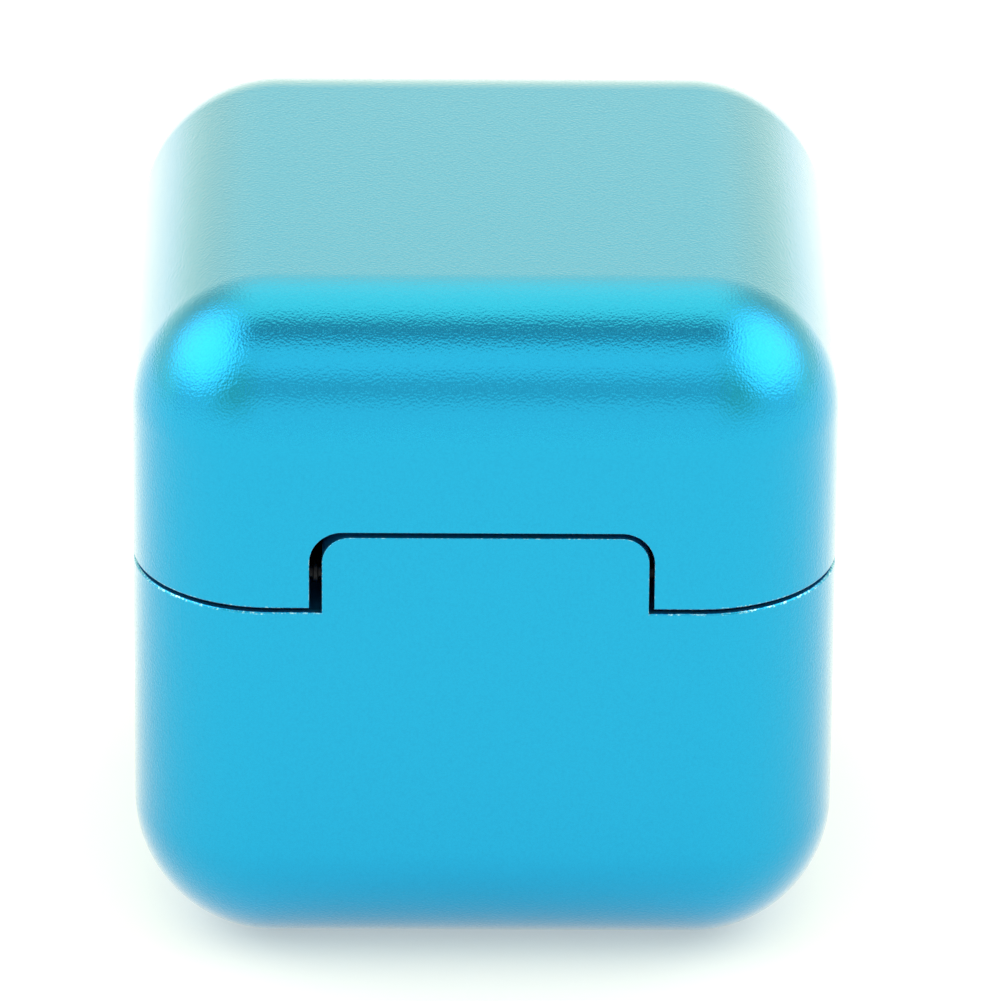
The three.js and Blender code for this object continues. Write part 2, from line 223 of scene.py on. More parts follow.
def keeper_profile(radius: float, outside: float, deep: float) -> list[tuple[float, float]]:
    """Inset and depth down the side of a tool that keeps what is inside it and eases the edge."""
    corners = eased_corner(radius)
    first = math.pi / 2 / len(corners)
    start = (-outside, corners[0][1] + (corners[0][0] + outside) / math.tan(first))
    return [(-outside, deep), start, *corners[1:]]


def flare_profile(radius: float, beyond: float, deep: float) -> list[tuple[float, float]]:
    """Outset and depth down the side of a tool that cuts a hole and eases its mouth."""
    corners = eased_corner(radius)
    last = math.pi / 2 - math.pi / 2 / len(corners)
    end = (corners[-1][0] + beyond * math.tan(last), -beyond)
    return [(0.0, deep), *corners[:-1], end]


# ---- Machining ----------------------------------------------------------------------------------
class Workpiece:
    """A solid that tools cut, join and trim, in millimetres."""

    def __init__(self, mesh: bpy.types.Mesh) -> None:
        """Takes the stock to be machined."""
        self.mesh = mesh

    def _apply(self, operation: Operation, tool: "bpy.types.Mesh | Workpiece") -> "Workpiece":
        """Applies one tool, and removes it."""
        tool_mesh = tool.mesh if isinstance(tool, Workpiece) else tool
        stock = temporary_object("stock", self.mesh)
        cutter = temporary_object("cutter", tool_mesh)
        modifier = stock.modifiers.new("tool", "BOOLEAN")
        modifier.operation = operation.value
        modifier.solver = "MANIFOLD"
        modifier.object = cutter
        self.mesh = evaluated_mesh(stock)
        for scratch in (stock, cutter):
            bpy.data.objects.remove(scratch)
        return self

    def cut(self, *tools: "bpy.types.Mesh | Workpiece") -> "Workpiece":
        """Takes each tool's space away."""
        for tool in tools:
            self._apply(Operation.CUT, tool)
        return self

    def weld(self, *tools: "bpy.types.Mesh | Workpiece") -> "Workpiece":
        """Adds each tool's space."""
        for tool in tools:
            self._apply(Operation.WELD, tool)
        return self

    def keep(self, tool: "bpy.types.Mesh | Workpiece") -> "Workpiece":
        """Keeps only what is inside the tool."""
        return self._apply(Operation.KEEP, tool)


def temporary_object(name: str, mesh: bpy.types.Mesh) -> bpy.types.Object:
    """Links a mesh to the scene as an object that is removed again."""
    made = bpy.data.objects.new(name, mesh)
    bpy.context.scene.collection.objects.link(made)
    return made


def evaluated_mesh(thing: bpy.types.Object) -> bpy.types.Mesh:
    """The plain mesh that an object's modifiers make."""
    graph = bpy.context.evaluated_depsgraph_get()
    graph.update()
    return bpy.data.meshes.new_from_object(thing.evaluated_get(graph), depsgraph=graph)


def moved(mesh: bpy.types.Mesh, matrix: Matrix) -> bpy.types.Mesh:
    """Moves a mesh's vertices, and gives the mesh back."""
    mesh.transform(matrix)
    return mesh


def box_tool(low: Sequence[float], high: Sequence[float]) -> bpy.types.Mesh:
    """A box between two corners, as a tool."""
    (x0, y0, z0), (x1, y1, z1) = low, high
    ring = np.array([[x0, y0], [x1, y0], [x1, y1], [x0, y1]])
    return loft("box_tool", [at_height(ring, z0), at_height(ring, z1)])


def column_tool(
    half_x: float, half_y: float, radius: float, low: float, high: float
) -> bpy.types.Mesh:
    """A square column with round upright edges, as a tool."""
    ring = rounded_outline(half_x, half_y, radius)
    return loft("column_tool", [at_height(ring, low), at_height(ring, high)])


# ---- Node trees ---------------------------------------------------------------------------------
def add_node(
    tree: bpy.types.NodeTree, kind: str, inputs: dict[Any, Any] | None = None, **settings: Any
) -> bpy.types.Node:
    """Adds a node with its settings and links.

    Args:
        tree: The tree that the node joins.
        kind: The node's type.
        inputs: A value, or a node or socket to link from, for each input by name or number.
        **settings: The node's own properties.

    Returns:
        The new node.
    """
    node = tree.nodes.new(kind)
    for name, value in settings.items():
        setattr(node, name, value)
    for key, value in (inputs or {}).items():
        if isinstance(value, bpy.types.Node):
            value = next(socket for socket in value.outputs if socket.enabled)
        if isinstance(value, bpy.types.NodeSocket):
            tree.links.new(value, node.inputs[key])
        else:
            node.inputs[key].default_value = value
    return node


def new_geometry_tree(
    name: str, sizes: dict[str, str]
) -> tuple[bpy.types.NodeTree, bpy.types.NodeOutputs]:
    """Starts a geometry tree with named inputs, a material input and one geometry output."""
    tree = bpy.data.node_groups.new(name, "GeometryNodeTree")
    tree.interface.new_socket("Geometry", in_out="OUTPUT", socket_type="NodeSocketGeometry")
    for size, kind in {**sizes, "Material": "Material"}.items():
        tree.interface.new_socket(size, in_out="INPUT", socket_type=f"NodeSocket{kind}")
    return tree, add_node(tree, "NodeGroupInput").outputs


def end_tree(tree: bpy.types.NodeTree, shape: bpy.types.Node, given: bpy.types.NodeOutputs) -> None:
    """Ends a geometry tree in Realize Instances and Set Material."""
    real = add_node(tree, "GeometryNodeRealizeInstances", {"Geometry": shape})
    inputs = {"Geometry": real, "Material": given["Material"]}
    dressed = add_node(tree, "GeometryNodeSetMaterial", inputs)
    add_node(tree, "NodeGroupOutput", {"Geometry": dressed})


def grown_mesh(
    tree: bpy.types.NodeTree, material: bpy.types.Material, values: dict[str, Any]
) -> bpy.types.Mesh:
    """Runs a geometry tree.

    Args:
        tree: The tree.
        material: The finish that its result has.
        values: What each other named input is set to.

    Returns:
        The tree's result as a plain mesh.
    """
    holder = temporary_object(tree.name, bpy.data.meshes.new(tree.name))
    modifier = holder.modifiers.new(tree.name, "NODES")
    modifier.node_group = tree
    given = {**values, "Material": material}
    for item in tree.interface.items_tree:
        if item.in_out == "INPUT":
            modifier[item.identifier] = given[item.name]
    mesh = evaluated_mesh(holder)
    holder.modifiers.clear()
    bpy.data.objects.remove(holder)
    return mesh


def rounded_block_tree() -> bpy.types.NodeTree:
    """A block whose every edge and corner is rounded to one radius.

    A cube of a fixed grid is bent by rule: on each axis the grid's middle span is the flat, and the
    spans beyond it turn by equal angles, so that the corners are true parts of a sphere.
    """
    sizes = {"Half Size": "Vector", "Edge Radius": "Float", "Steps": "Int"}
    tree, given = new_geometry_tree("rounded_block", sizes)
    spans = add_node(tree, "ShaderNodeMath", {0: given["Steps"], 1: 2.0}, operation="MULTIPLY")
    count = add_node(tree, "ShaderNodeMath", {0: spans, 1: 2.0}, operation="ADD")
    sides = {"Size": (2, 2, 2), "Vertices X": count, "Vertices Y": count, "Vertices Z": count}
    cube = add_node(tree, "GeometryNodeMeshCube", sides)
    place = add_node(tree, "GeometryNodeInputPosition")
    sign = add_node(tree, "ShaderNodeVectorMath", {0: place}, operation="SIGN")
    reach = add_node(tree, "ShaderNodeVectorMath", {0: place}, operation="ABSOLUTE")
    odd = add_node(tree, "ShaderNodeMath", {0: spans, 1: 1.0}, operation="ADD")
    step = {0: reach, "Scale": odd}
    grid = add_node(tree, "ShaderNodeVectorMath", step, operation="SCALE")
    beyond = add_node(tree, "ShaderNodeVectorMath", {0: grid, 1: (1, 1, 1)}, operation="SUBTRACT")
    share = add_node(tree, "ShaderNodeMath", {0: math.pi / 4, 1: spans}, operation="DIVIDE")
    angle = add_node(tree, "ShaderNodeVectorMath", {0: beyond, "Scale": share}, operation="SCALE")
    slope = add_node(tree, "ShaderNodeVectorMath", {0: angle}, operation="TANGENT")
    facing = add_node(tree, "ShaderNodeVectorMath", {0: slope}, operation="NORMALIZE")
    swell = {0: facing, "Scale": given["Edge Radius"]}
    ball = add_node(tree, "ShaderNodeVectorMath", swell, operation="SCALE")
    radius = add_node(tree, "ShaderNodeCombineXYZ", {i: given["Edge Radius"] for i in range(3)})
    flats = {0: given["Half Size"], 1: radius}
    core = add_node(tree, "ShaderNodeVectorMath", flats, operation="SUBTRACT")
    octant = add_node(tree, "ShaderNodeVectorMath", {0: core, 1: ball}, operation="ADD")
    whole = add_node(tree, "ShaderNodeVectorMath", {0: octant, 1: sign}, operation="MULTIPLY")
    bent = {"Geometry": cube.outputs["Mesh"], "Position": whole}
    end_tree(tree, add_node(tree, "GeometryNodeSetPosition", bent), given)
    return tree


def row_tree() -> bpy.types.NodeTree:
    """Copies of one piece at even steps along a line."""
    sizes = {"Piece": "Object", "Count": "Int", "Start": "Vector", "Step": "Vector"}
    tree, given = new_geometry_tree("row_of_pieces", sizes)
    line = {"Count": given["Count"], "Start Location": given["Start"], "Offset": given["Step"]}
    places = add_node(tree, "GeometryNodeMeshLine", line)
    piece = add_node(tree, "GeometryNodeObjectInfo", {"Object": given["Piece"]})
    inputs = {"Points": places, "Instance": piece.outputs["Geometry"]}
    copies = add_node(tree, "GeometryNodeInstanceOnPoints", inputs)
    end_tree(tree, copies, given)
    return tree


def coil_tree() -> bpy.types.NodeTree:
    """A coil spring of round wire, wound about Z from the origin up."""
    sizes = {
        "Coil Radius": "Float",
        "Wire Radius": "Float",
        "Turns": "Float",
        "Length": "Float",
        "Steps per Turn": "Int",
        "Wire Sides": "Int",
    }
    tree, given = new_geometry_tree("coil_spring", sizes)
    line = {
        "Resolution": given["Steps per Turn"],
        "Rotations": given["Turns"],
        "Start Radius": given["Coil Radius"],
        "End Radius": given["Coil Radius"],
        "Height": given["Length"],
    }
    helix = add_node(tree, "GeometryNodeCurveSpiral", line)
    ring = {"Resolution": given["Wire Sides"], "Radius": given["Wire Radius"]}
    section = add_node(tree, "GeometryNodeCurvePrimitiveCircle", ring)
    sweep = {"Curve": helix, "Profile Curve": section.outputs["Curve"], "Fill Caps": True}
    end_tree(tree, add_node(tree, "GeometryNodeCurveToMesh", sweep), given)
    return tree


def screw_tree() -> bpy.types.NodeTree:
    """The threaded shank of a screw: a cylinder whose radius rises and falls along a helix."""
    sizes = {
        "Radius": "Float",
        "Length": "Float",
        "Pitch": "Float",
        "Depth": "Float",
        "Sides": "Int",
        "Rows": "Int",
    }
    tree, given = new_geometry_tree("screw_shank", sizes)
    rows = {
        "Vertices": given["Sides"],
        "Side Segments": given["Rows"],
        "Radius": given["Radius"],
        "Depth": given["Length"],
    }
    bar = add_node(tree, "GeometryNodeMeshCylinder", rows)
    place = add_node(tree, "GeometryNodeInputPosition")
    axes = add_node(tree, "ShaderNodeSeparateXYZ", {0: place})
    turn = {0: axes.outputs["Y"], 1: axes.outputs["X"]}
    angle = add_node(tree, "ShaderNodeMath", turn, operation="ARCTAN2")
    turns = add_node(tree, "ShaderNodeMath", {0: angle, 1: 2 * math.pi}, operation="DIVIDE")
    rise = {0: axes.outputs["Z"], 1: given["Pitch"]}
    climb = add_node(tree, "ShaderNodeMath", rise, operation="DIVIDE")
    phase = add_node(tree, "ShaderNodeMath", {0: climb, 1: turns}, operation="SUBTRACT")
    ridge = add_node(tree, "ShaderNodeMath", {0: phase, 1: 0.5}, operation="PINGPONG")
    share = add_node(tree, "ShaderNodeMath", {0: ridge, 1: 2.0}, operation="MULTIPLY")
    groove = add_node(tree, "ShaderNodeMath", {0: share, 1: given["Depth"]}, operation="MULTIPLY")
    flat = add_node(tree, "ShaderNodeVectorMath", {0: place, 1: (1, 1, 0)}, operation="MULTIPLY")
    out = add_node(tree, "ShaderNodeVectorMath", {0: flat}, operation="NORMALIZE")
    inwards = add_node(tree, "ShaderNodeMath", {0: groove, 1: -1.0}, operation="MULTIPLY")
    shift = add_node(tree, "ShaderNodeVectorMath", {0: out, "Scale": inwards}, operation="SCALE")
    cut = {"Geometry": bar.outputs["Mesh"], "Offset": shift}
    end_tree(tree, add_node(tree, "GeometryNodeSetPosition", cut), given)
    return tree


def fibre_tree() -> bpy.types.NodeTree:
    """A felt pad with short loose fibres scattered over the face that looks up."""
    sizes = {
        "Pad": "Object",
        "Fibre": "Object",
        "Fibres per Square Unit": "Float",
        "Least Scale": "Float",
        "Most Scale": "Float",
        "Tilt": "Vector",
        "Seed": "Int",
    }
    tree, given = new_geometry_tree("felt_fibres", sizes)
    pad = add_node(tree, "GeometryNodeObjectInfo", {"Object": given["Pad"]})
    facing = add_node(tree, "GeometryNodeInputNormal")
    rise = add_node(tree, "ShaderNodeSeparateXYZ", {0: facing})
    upward = {0: rise.outputs["Z"], 1: 0.5}
    spread = {
        "Mesh": pad.outputs["Geometry"],
        "Selection": add_node(tree, "ShaderNodeMath", upward, operation="GREATER_THAN"),
        "Density": given["Fibres per Square Unit"],
        "Seed": given["Seed"],
    }
    points = add_node(tree, "GeometryNodeDistributePointsOnFaces", spread)
    fibre = add_node(tree, "GeometryNodeObjectInfo", {"Object": given["Fibre"]})
    turn = {"Min": (0, 0, 0), "Max": given["Tilt"], "Seed": given["Seed"]}
    tilt = add_node(tree, "FunctionNodeRandomValue", turn, data_type="FLOAT_VECTOR")
    scales = {2: given["Least Scale"], 3: given["Most Scale"], "Seed": given["Seed"]}
    size = add_node(tree, "FunctionNodeRandomValue", scales)
    stand = {"Rotation": points.outputs["Rotation"], "Rotate By": tilt.outputs["Value"]}
    lean = add_node(tree, "FunctionNodeRotateRotation", stand, rotation_space="LOCAL")
    inputs = {
        "Points": points.outputs["Points"],
        "Instance": fibre.outputs["Geometry"],
        "Rotation": lean,
        "Scale": size.outputs[1],
    }
    fibres = add_node(tree, "GeometryNodeInstanceOnPoints", inputs)
    both = add_node(tree, "GeometryNodeJoinGeometry", {"Geometry": fibres})
    tree.links.new(pad.outputs["Geometry"], both.inputs["Geometry"])
    end_tree(tree, both, given)
    return tree


# ---- Finishes -----------------------------------------------------------------------------------
def new_material(
    name: str,
) -> tuple[bpy.types.Material, bpy.types.NodeTree, bpy.types.NodeSocket]:
    """Starts a material with a tree that holds only the place on the piece."""
    material = bpy.data.materials.new(name)
    material.use_nodes = True
    tree = material.node_tree
    tree.nodes.clear()
    return material, tree, add_node(tree, "ShaderNodeTexCoord").outputs["Object"]


def per_metre(size_mm: float) -> float:
    """The pattern scale, in cells per metre, that makes one cell a size in millimetres."""
    return 1 / (size_mm * MM)


def two_shades(
    tree: bpy.types.NodeTree,
    pattern: bpy.types.Node | bpy.types.NodeSocket,
    low: str,
    high: str,
    places: tuple[float, float] = (0.0, 1.0),
) -> bpy.types.NodeSocket:
    """Turns a pattern to a colour between two shades.

    Args:
        tree: The material's tree.
        pattern: The pattern's socket or node.
        low: The shade up to the first place.
        high: The shade from the second place on.
        places: The two places on the pattern's scale.

    Returns:
        The socket with the colour.
    """
    ramp = add_node(tree, "ShaderNodeValToRGB", {"Fac": pattern})
    for stop, place, shade in zip(ramp.color_ramp.elements, places, (low, high)):
        stop.position = place
        stop.color = linear(shade)
    return ramp.outputs["Color"]


def end_material(tree: bpy.types.NodeTree, shader_inputs: dict[str, Any]) -> None:
    """Ends a material's tree in one Principled shader."""
    shader = add_node(tree, "ShaderNodeBsdfPrincipled", shader_inputs)
    add_node(tree, "ShaderNodeOutputMaterial", {"Surface": shader})


@dataclass(frozen=True)
class BlastedAnodisedAluminium:
    """Machined 6061 aluminium, bead blasted, dyed blue and sealed."""

    name: str = "blasted_anodised_aluminium"
    dye: str = "#12A1D0"
    deep_dye: str = "#0F9ACA"
    # Pale speck colour on worn edges: partly nearly bare metal, partly a painted glint.
    worn: str = "#A9E3F1"
    dimple_mm: float = 0.12
    ripple_mm: float = 0.5
    speck_mm: float = 2.6
    spark_mm: float = 0.14
    dimple_rise_mm: float = 0.011
    ripple_rise_mm: float = 0.003
    pit_mm: float = 0.004
    pit_reach: tuple[float, float] = (0.012, 0.03)
    roughness: tuple[float, float] = (0.16, 0.24)
    oxide_roughness: float = 0.18
    oxide_ior: float = 1.25
    sheen: float = 0.3
    sheen_roughness: float = 0.33
    wear: float = 0.0
    rub: tuple[float, float] = (0.66, 0.7)
    rub_spread: float = 0.3

    def build(self) -> bpy.types.Material:
        """Makes the material.

        Blasting leaves shallow overlapping dimples that break a reflection into grain, and the dye
        pools a little in them. The clear oxide over the metal gives a second, whiter gloss, whose
        index is set below the oxide's own so that the gloss stays weak face on. A few pits are
        deeper than the grain. On a worn edge, pale specks show: partly nearly bare metal, and partly
        a painted glint that stands in for the light the eased edges catch.
        """
        material, tree, place = new_material(self.name)
        dimple = {"Vector": place, "Scale": per_metre(self.dimple_mm), "Smoothness": 0.5}
        dimples = add_node(tree, "ShaderNodeTexVoronoi", dimple, feature="SMOOTH_F1")
        ripple = {"Vector": place, "Scale": per_metre(self.ripple_mm), "Detail": 2.0}
        ripples = add_node(tree, "ShaderNodeTexNoise", ripple)
        speck = {"Vector": place, "Scale": per_metre(self.speck_mm)}
        specks = add_node(tree, "ShaderNodeTexVoronoi", speck)
        near, far = self.pit_reach
        pit = {"Value": specks.outputs["Distance"], "From Min": near, "From Max": far}
        pits = add_node(tree, "ShaderNodeMapRange", pit)
        colours = {0: dimples.outputs[0], 6: linear(self.dye), 7: linear(self.deep_dye)}
        dyed = add_node(tree, "ShaderNodeMix", colours, data_type="RGBA")
        if self.wear:
            # Pale specks on the worn edges: partly bare metal, partly painted glints where the edges
            # catch light.
            spark = {"Vector": place, "Scale": per_metre(self.spark_mm), "Detail": 2.0}
            sparks = add_node(tree, "ShaderNodeTexNoise", spark)
            start = self.rub[0] - self.rub_spread * self.wear
            rub = {"Value": sparks.outputs[0], "From Min": start, "From Max": self.rub[1]}
            rubbed = add_node(tree, "ShaderNodeMapRange", rub)
            bare = {0: rubbed, 6: dyed.outputs[2], 7: linear(self.worn)}
            dyed = add_node(tree, "ShaderNodeMix", bare, data_type="RGBA")
        low, high = self.roughness
        gloss = {"Value": dimples.outputs[0], "To Min": low, "To Max": high}
        rough = add_node(tree, "ShaderNodeMapRange", gloss)
        rise = {"Height": ripples.outputs[0], "Distance": self.ripple_rise_mm * MM}
        wavy = add_node(tree, "ShaderNodeBump", rise)
        fine = {"Height": dimples.outputs[0], "Distance": self.dimple_rise_mm * MM, "Normal": wavy}
        grainy = add_node(tree, "ShaderNodeBump", fine)
        sunk = {"Height": pits, "Distance": self.pit_mm * MM, "Normal": grainy}
        pitted = add_node(tree, "ShaderNodeBump", sunk)
        inputs = {
            "Base Color": dyed.outputs[2],
            "Metallic": 1.0,
            "Roughness": rough,
            "Normal": pitted,
            "Coat Weight": 1.0,
            "Coat Roughness": self.oxide_roughness,
            "Coat IOR": self.oxide_ior,
            "Coat Normal": grainy,
            "Sheen Weight": self.sheen,
            "Sheen Roughness": self.sheen_roughness,
        }
        end_material(tree, inputs)
        return material


@dataclass(frozen=True)
class MilledAnodisedAluminium:
    """The same aluminium where a cutter finished it inside, dyed but not blasted."""

    name: str = "milled_anodised_aluminium"
    dye: str = "#17A4D8"
    deep_dye: str = "#1296CC"
    feed_mm: float = 0.16
    feed_waver: float = 0.3
    rise_mm: float = 0.004
    cloud_mm: float = 1.2
    metallic: float = 0.82
    roughness: tuple[float, float] = (0.26, 0.38)

    def build(self) -> bpy.types.Material:
        """Makes the material: a clean blue with the fine ridges that a cutter's feed leaves.

        It is set a little short of full metal, because the dyed oxide scatters some light itself.
        """
        material, tree, place = new_material(self.name)
        scale = per_metre(self.feed_mm) / math.tau
        feed = {"Vector": place, "Scale": scale, "Distortion": self.feed_waver}
        ridges = add_node(tree, "ShaderNodeTexWave", feed, bands_direction="DIAGONAL")
        cloud = {"Vector": place, "Scale": per_metre(self.cloud_mm), "Detail": 3.0}
        clouds = add_node(tree, "ShaderNodeTexNoise", cloud)
        colours = {0: clouds.outputs[0], 6: linear(self.dye), 7: linear(self.deep_dye)}
        dyed = add_node(tree, "ShaderNodeMix", colours, data_type="RGBA")
        low, high = self.roughness
        gloss = {"Value": clouds.outputs[0], "To Min": low, "To Max": high}
        bump = {"Height": ridges.outputs["Fac"], "Distance": self.rise_mm * MM}
        inputs = {
            "Base Color": dyed.outputs[2],
            "Metallic": self.metallic,
            "Roughness": add_node(tree, "ShaderNodeMapRange", gloss),
            "Normal": add_node(tree, "ShaderNodeBump", bump),
        }
        end_material(tree, inputs)
        return material


@dataclass(frozen=True)
class BlackOxideSteel:
    """Turned steel with a hot black oxide skin."""

    name: str = "black_oxide_steel"
    skin: str = "#17181B"
    worn: str = "#303135"
    worn_places: tuple[float, float] = (0.45, 0.75)
    turning_mm: float = 0.05
    turning_rise_mm: float = 0.002
    rub_mm: float = 0.7
    roughness: tuple[float, float] = (0.3, 0.5)

    def build(self) -> bpy.types.Material:
        """Makes the material: a dark satin metal whose turned marks and rubs catch light."""
        material, tree, place = new_material(self.name)
        grain = {"Vector": place, "Scale": per_metre(self.turning_mm), "Detail": 3.0}
        marks = add_node(tree, "ShaderNodeTexNoise", grain)
        rub = {"Vector": place, "Scale": per_metre(self.rub_mm), "Detail": 4.0, "Roughness": 0.6}
        rubs = add_node(tree, "ShaderNodeTexNoise", rub).outputs[0]
        low, high = self.roughness
        gloss = {"Value": marks.outputs[0], "To Min": low, "To Max": high}
        rise = {"Height": marks.outputs[0], "Distance": self.turning_rise_mm * MM}
        inputs = {
            "Base Color": two_shades(tree, rubs, self.skin, self.worn, self.worn_places),
            "Metallic": 1.0,
            "Roughness": add_node(tree, "ShaderNodeMapRange", gloss),
            "Normal": add_node(tree, "ShaderNodeBump", rise),
        }
        end_material(tree, inputs)
        return material


@dataclass(frozen=True)
class BrightMetal:
    """A bare or plated metal whose fine lines run along one axis."""

    name: str
    colour: str
    shade: str
    line_mm: tuple[float, float, float]
    roughness: tuple[float, float]
    rise_mm: float = 0.0006

    def build(self) -> bpy.types.Material:
        """Makes the material: a clean metal, drawn or plated, with fine lines in its gloss."""
        material, tree, place = new_material(self.name)
        scale = tuple(per_metre(size) for size in self.line_mm)
        drawn = add_node(tree, "ShaderNodeMapping", {"Vector": place, "Scale": scale})
        lines = add_node(tree, "ShaderNodeTexNoise", {"Vector": drawn, "Scale": 1.0, "Detail": 3.0})
        low, high = self.roughness
        gloss = {"Value": lines.outputs[0], "To Min": low, "To Max": high}
        bump = {"Height": lines.outputs[0], "Distance": self.rise_mm * MM}
        inputs = {
            "Base Color": two_shades(tree, lines.outputs[0], self.shade, self.colour),
            "Metallic": 1.0,
            "Roughness": add_node(tree, "ShaderNodeMapRange", gloss),
            "Normal": add_node(tree, "ShaderNodeBump", bump),
        }
        end_material(tree, inputs)
        return material


@dataclass(frozen=True)
class DarkPolymer:
    """A dark polymer: moulded against an eroded tool, turned from bar, or cast as rubber."""

    name: str
    colour: str
    light: str
    grain_mm: float
    rise_mm: float
    roughness: tuple[float, float]
    ior: float = 1.5
    sheen: float = 0.0
    cloud_mm: float = 4.0

    def build(self) -> bpy.types.Material:
        """Makes the material: an even dark body whose grain shows only where light grazes it."""
        material, tree, place = new_material(self.name)
        pattern = {"Vector": place, "Scale": per_metre(self.grain_mm), "Detail": 3.0}
        grain = add_node(tree, "ShaderNodeTexNoise", pattern)
        cloud = {"Vector": place, "Scale": per_metre(self.cloud_mm), "Detail": 2.0}
        clouds = add_node(tree, "ShaderNodeTexNoise", cloud)
        low, high = self.roughness
        gloss = {"Value": grain.outputs[0], "To Min": low, "To Max": high}
        bump = {"Height": grain.outputs[0], "Distance": self.rise_mm * MM}
        inputs = {
            "Base Color": two_shades(tree, clouds.outputs[0], self.colour, self.light),
            "Roughness": add_node(tree, "ShaderNodeMapRange", gloss),
            "IOR": self.ior,
            "Sheen Weight": self.sheen,
            "Normal": add_node(tree, "ShaderNodeBump", bump),
        }
        end_material(tree, inputs)
        return material


@dataclass(frozen=True)
class WoolFelt:
    """Pressed wool felt, dyed charcoal."""

    name: str = "wool_felt"
    deep: str = "#222428"
    lit: str = "#43464C"
    lit_places: tuple[float, float] = (0.15, 0.42)
    fibre_mm: float = 0.09
    fibre_stretch: float = 5.0
    tuft_mm: float = 0.9
    mat_rise_mm: float = 0.06
    roughness: float = 0.95
    sheen: float = 0.5
    sheen_roughness: float = 0.6

    def build(self) -> bpy.types.Material:
        """Makes the material: matted fibre with flecks of lighter wool and a soft edge glow."""
        material, tree, place = new_material(self.name)
        lengths = (self.fibre_mm * self.fibre_stretch, self.fibre_mm, self.fibre_mm)
        stretch = tuple(per_metre(size) for size in lengths)
        along = add_node(tree, "ShaderNodeMapping", {"Vector": place, "Scale": stretch})
        fibre = {"Vector": along, "Scale": 1.0, "Detail": 3.0, "Distortion": 1.5}
        fibres = add_node(tree, "ShaderNodeTexNoise", fibre)
        tuft = {"Vector": place, "Scale": per_metre(self.tuft_mm), "Detail": 4.0}
        tufts = add_node(tree, "ShaderNodeTexNoise", tuft)
        both = {0: fibres.outputs[0], 1: tufts.outputs[0]}
        mixed = add_node(tree, "ShaderNodeMath", both, operation="MULTIPLY")
        bump = {"Height": mixed, "Distance": self.mat_rise_mm * MM}
        inputs = {
            "Base Color": two_shades(tree, mixed, self.deep, self.lit, self.lit_places),
            "Roughness": self.roughness,
            "Sheen Weight": self.sheen,
            "Sheen Roughness": self.sheen_roughness,
            "Normal": add_node(tree, "ShaderNodeBump", bump),
        }
        end_material(tree, inputs)
        return material


@dataclass(frozen=True)
class StudioFloor:
    """A white paper sweep."""

    name: str = "studio_floor"
    paper: str = "#D4D4CF"
    lit: str = "#FFFFF9"
    tooth_mm: float = 0.6
    tooth_rise_mm: float = 0.01
    roughness: float = 0.9
    glow: float = 0.37

    def build(self) -> bpy.types.Material:
        """Makes the material: matt white paper, lit evenly so that it reads as white."""
        material, tree, place = new_material(self.name)
        tooth = {"Vector": place, "Scale": per_metre(self.tooth_mm), "Detail": 2.0}
        teeth = add_node(tree, "ShaderNodeTexNoise", tooth)
        bump = {"Height": teeth.outputs[0], "Distance": self.tooth_rise_mm * MM}
        inputs = {
            "Base Color": linear(self.paper),
            "Roughness": self.roughness,
            "Emission Color": linear(self.lit),
            "Emission Strength": self.glow,
            "Normal": add_node(tree, "ShaderNodeBump", bump),
        }
        end_material(tree, inputs)
        return material


class Finishes:
    """Every finish on the cube, built once."""

    def __init__(self) -> None:
        """Builds each finish from its colours, its pattern sizes and its gloss."""
        self.shell = BlastedAnodisedAluminium().build()
        # Finish for the eased edges: pale specks of bare metal that also paint glints on them.
        self.rubbed = BlastedAnodisedAluminium("rubbed_anodised_edge", wear=0.55).build()
        self.milled = MilledAnodisedAluminium().build()
        self.blacked = BlackOxideSteel().build()
        self.felt = WoolFelt().build()
        self.spring = BrightMetal(
            "drawn_spring_steel", "#C4C8CC", "#9CA0A6", (0.6, 0.03, 0.03), (0.22, 0.36)
        ).build()
        self.nickel = BrightMetal(
            "bright_nickel_plate", "#D6D4CF", "#C3C1BB", (0.25, 0.25, 0.25), (0.1, 0.22)
        ).build()
        self.liner = DarkPolymer(
            "moulded_abs_liner", "#17181A", "#1D1F22", 0.12, 0.012, (0.5, 0.7)
        ).build()
        self.acetal = DarkPolymer(
            "turned_acetal", "#101113", "#17181B", 0.05, 0.002, (0.28, 0.42), 1.48
        ).build()
        self.silicone = DarkPolymer(
            "cast_silicone", "#33363A", "#3B3E43", 0.1, 0.006, (0.6, 0.8), 1.41, 0.15
        ).build()


# ---- Finishing a piece --------------------------------------------------------------------------
def span(node: str) -> tuple[Vector, Vector]:
    """The lowest and highest corners of a node of the frame, in millimetres."""
    low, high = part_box(node)
    return Vector(low) / MM, Vector(high) / MM


def smoothed(mesh: bpy.types.Mesh, crease_deg: float = 30.0) -> bpy.types.Mesh:
    """Shades curved faces smooth, leaving creases sharp and flats flat.

    Args:
        mesh: The mesh.
        crease_deg: Edges that turn more than this stay sharp.

    Returns:
        A new mesh whose normals lean towards its larger faces.
    """
    mesh.shade_smooth()
    mesh.set_sharp_from_angle(angle=math.radians(crease_deg))
    scratch = temporary_object("smoothing", mesh)
    weighted = scratch.modifiers.new("weighted", "WEIGHTED_NORMAL")
    weighted.keep_sharp = True
    result = evaluated_mesh(scratch)
    bpy.data.objects.remove(scratch)
    return result


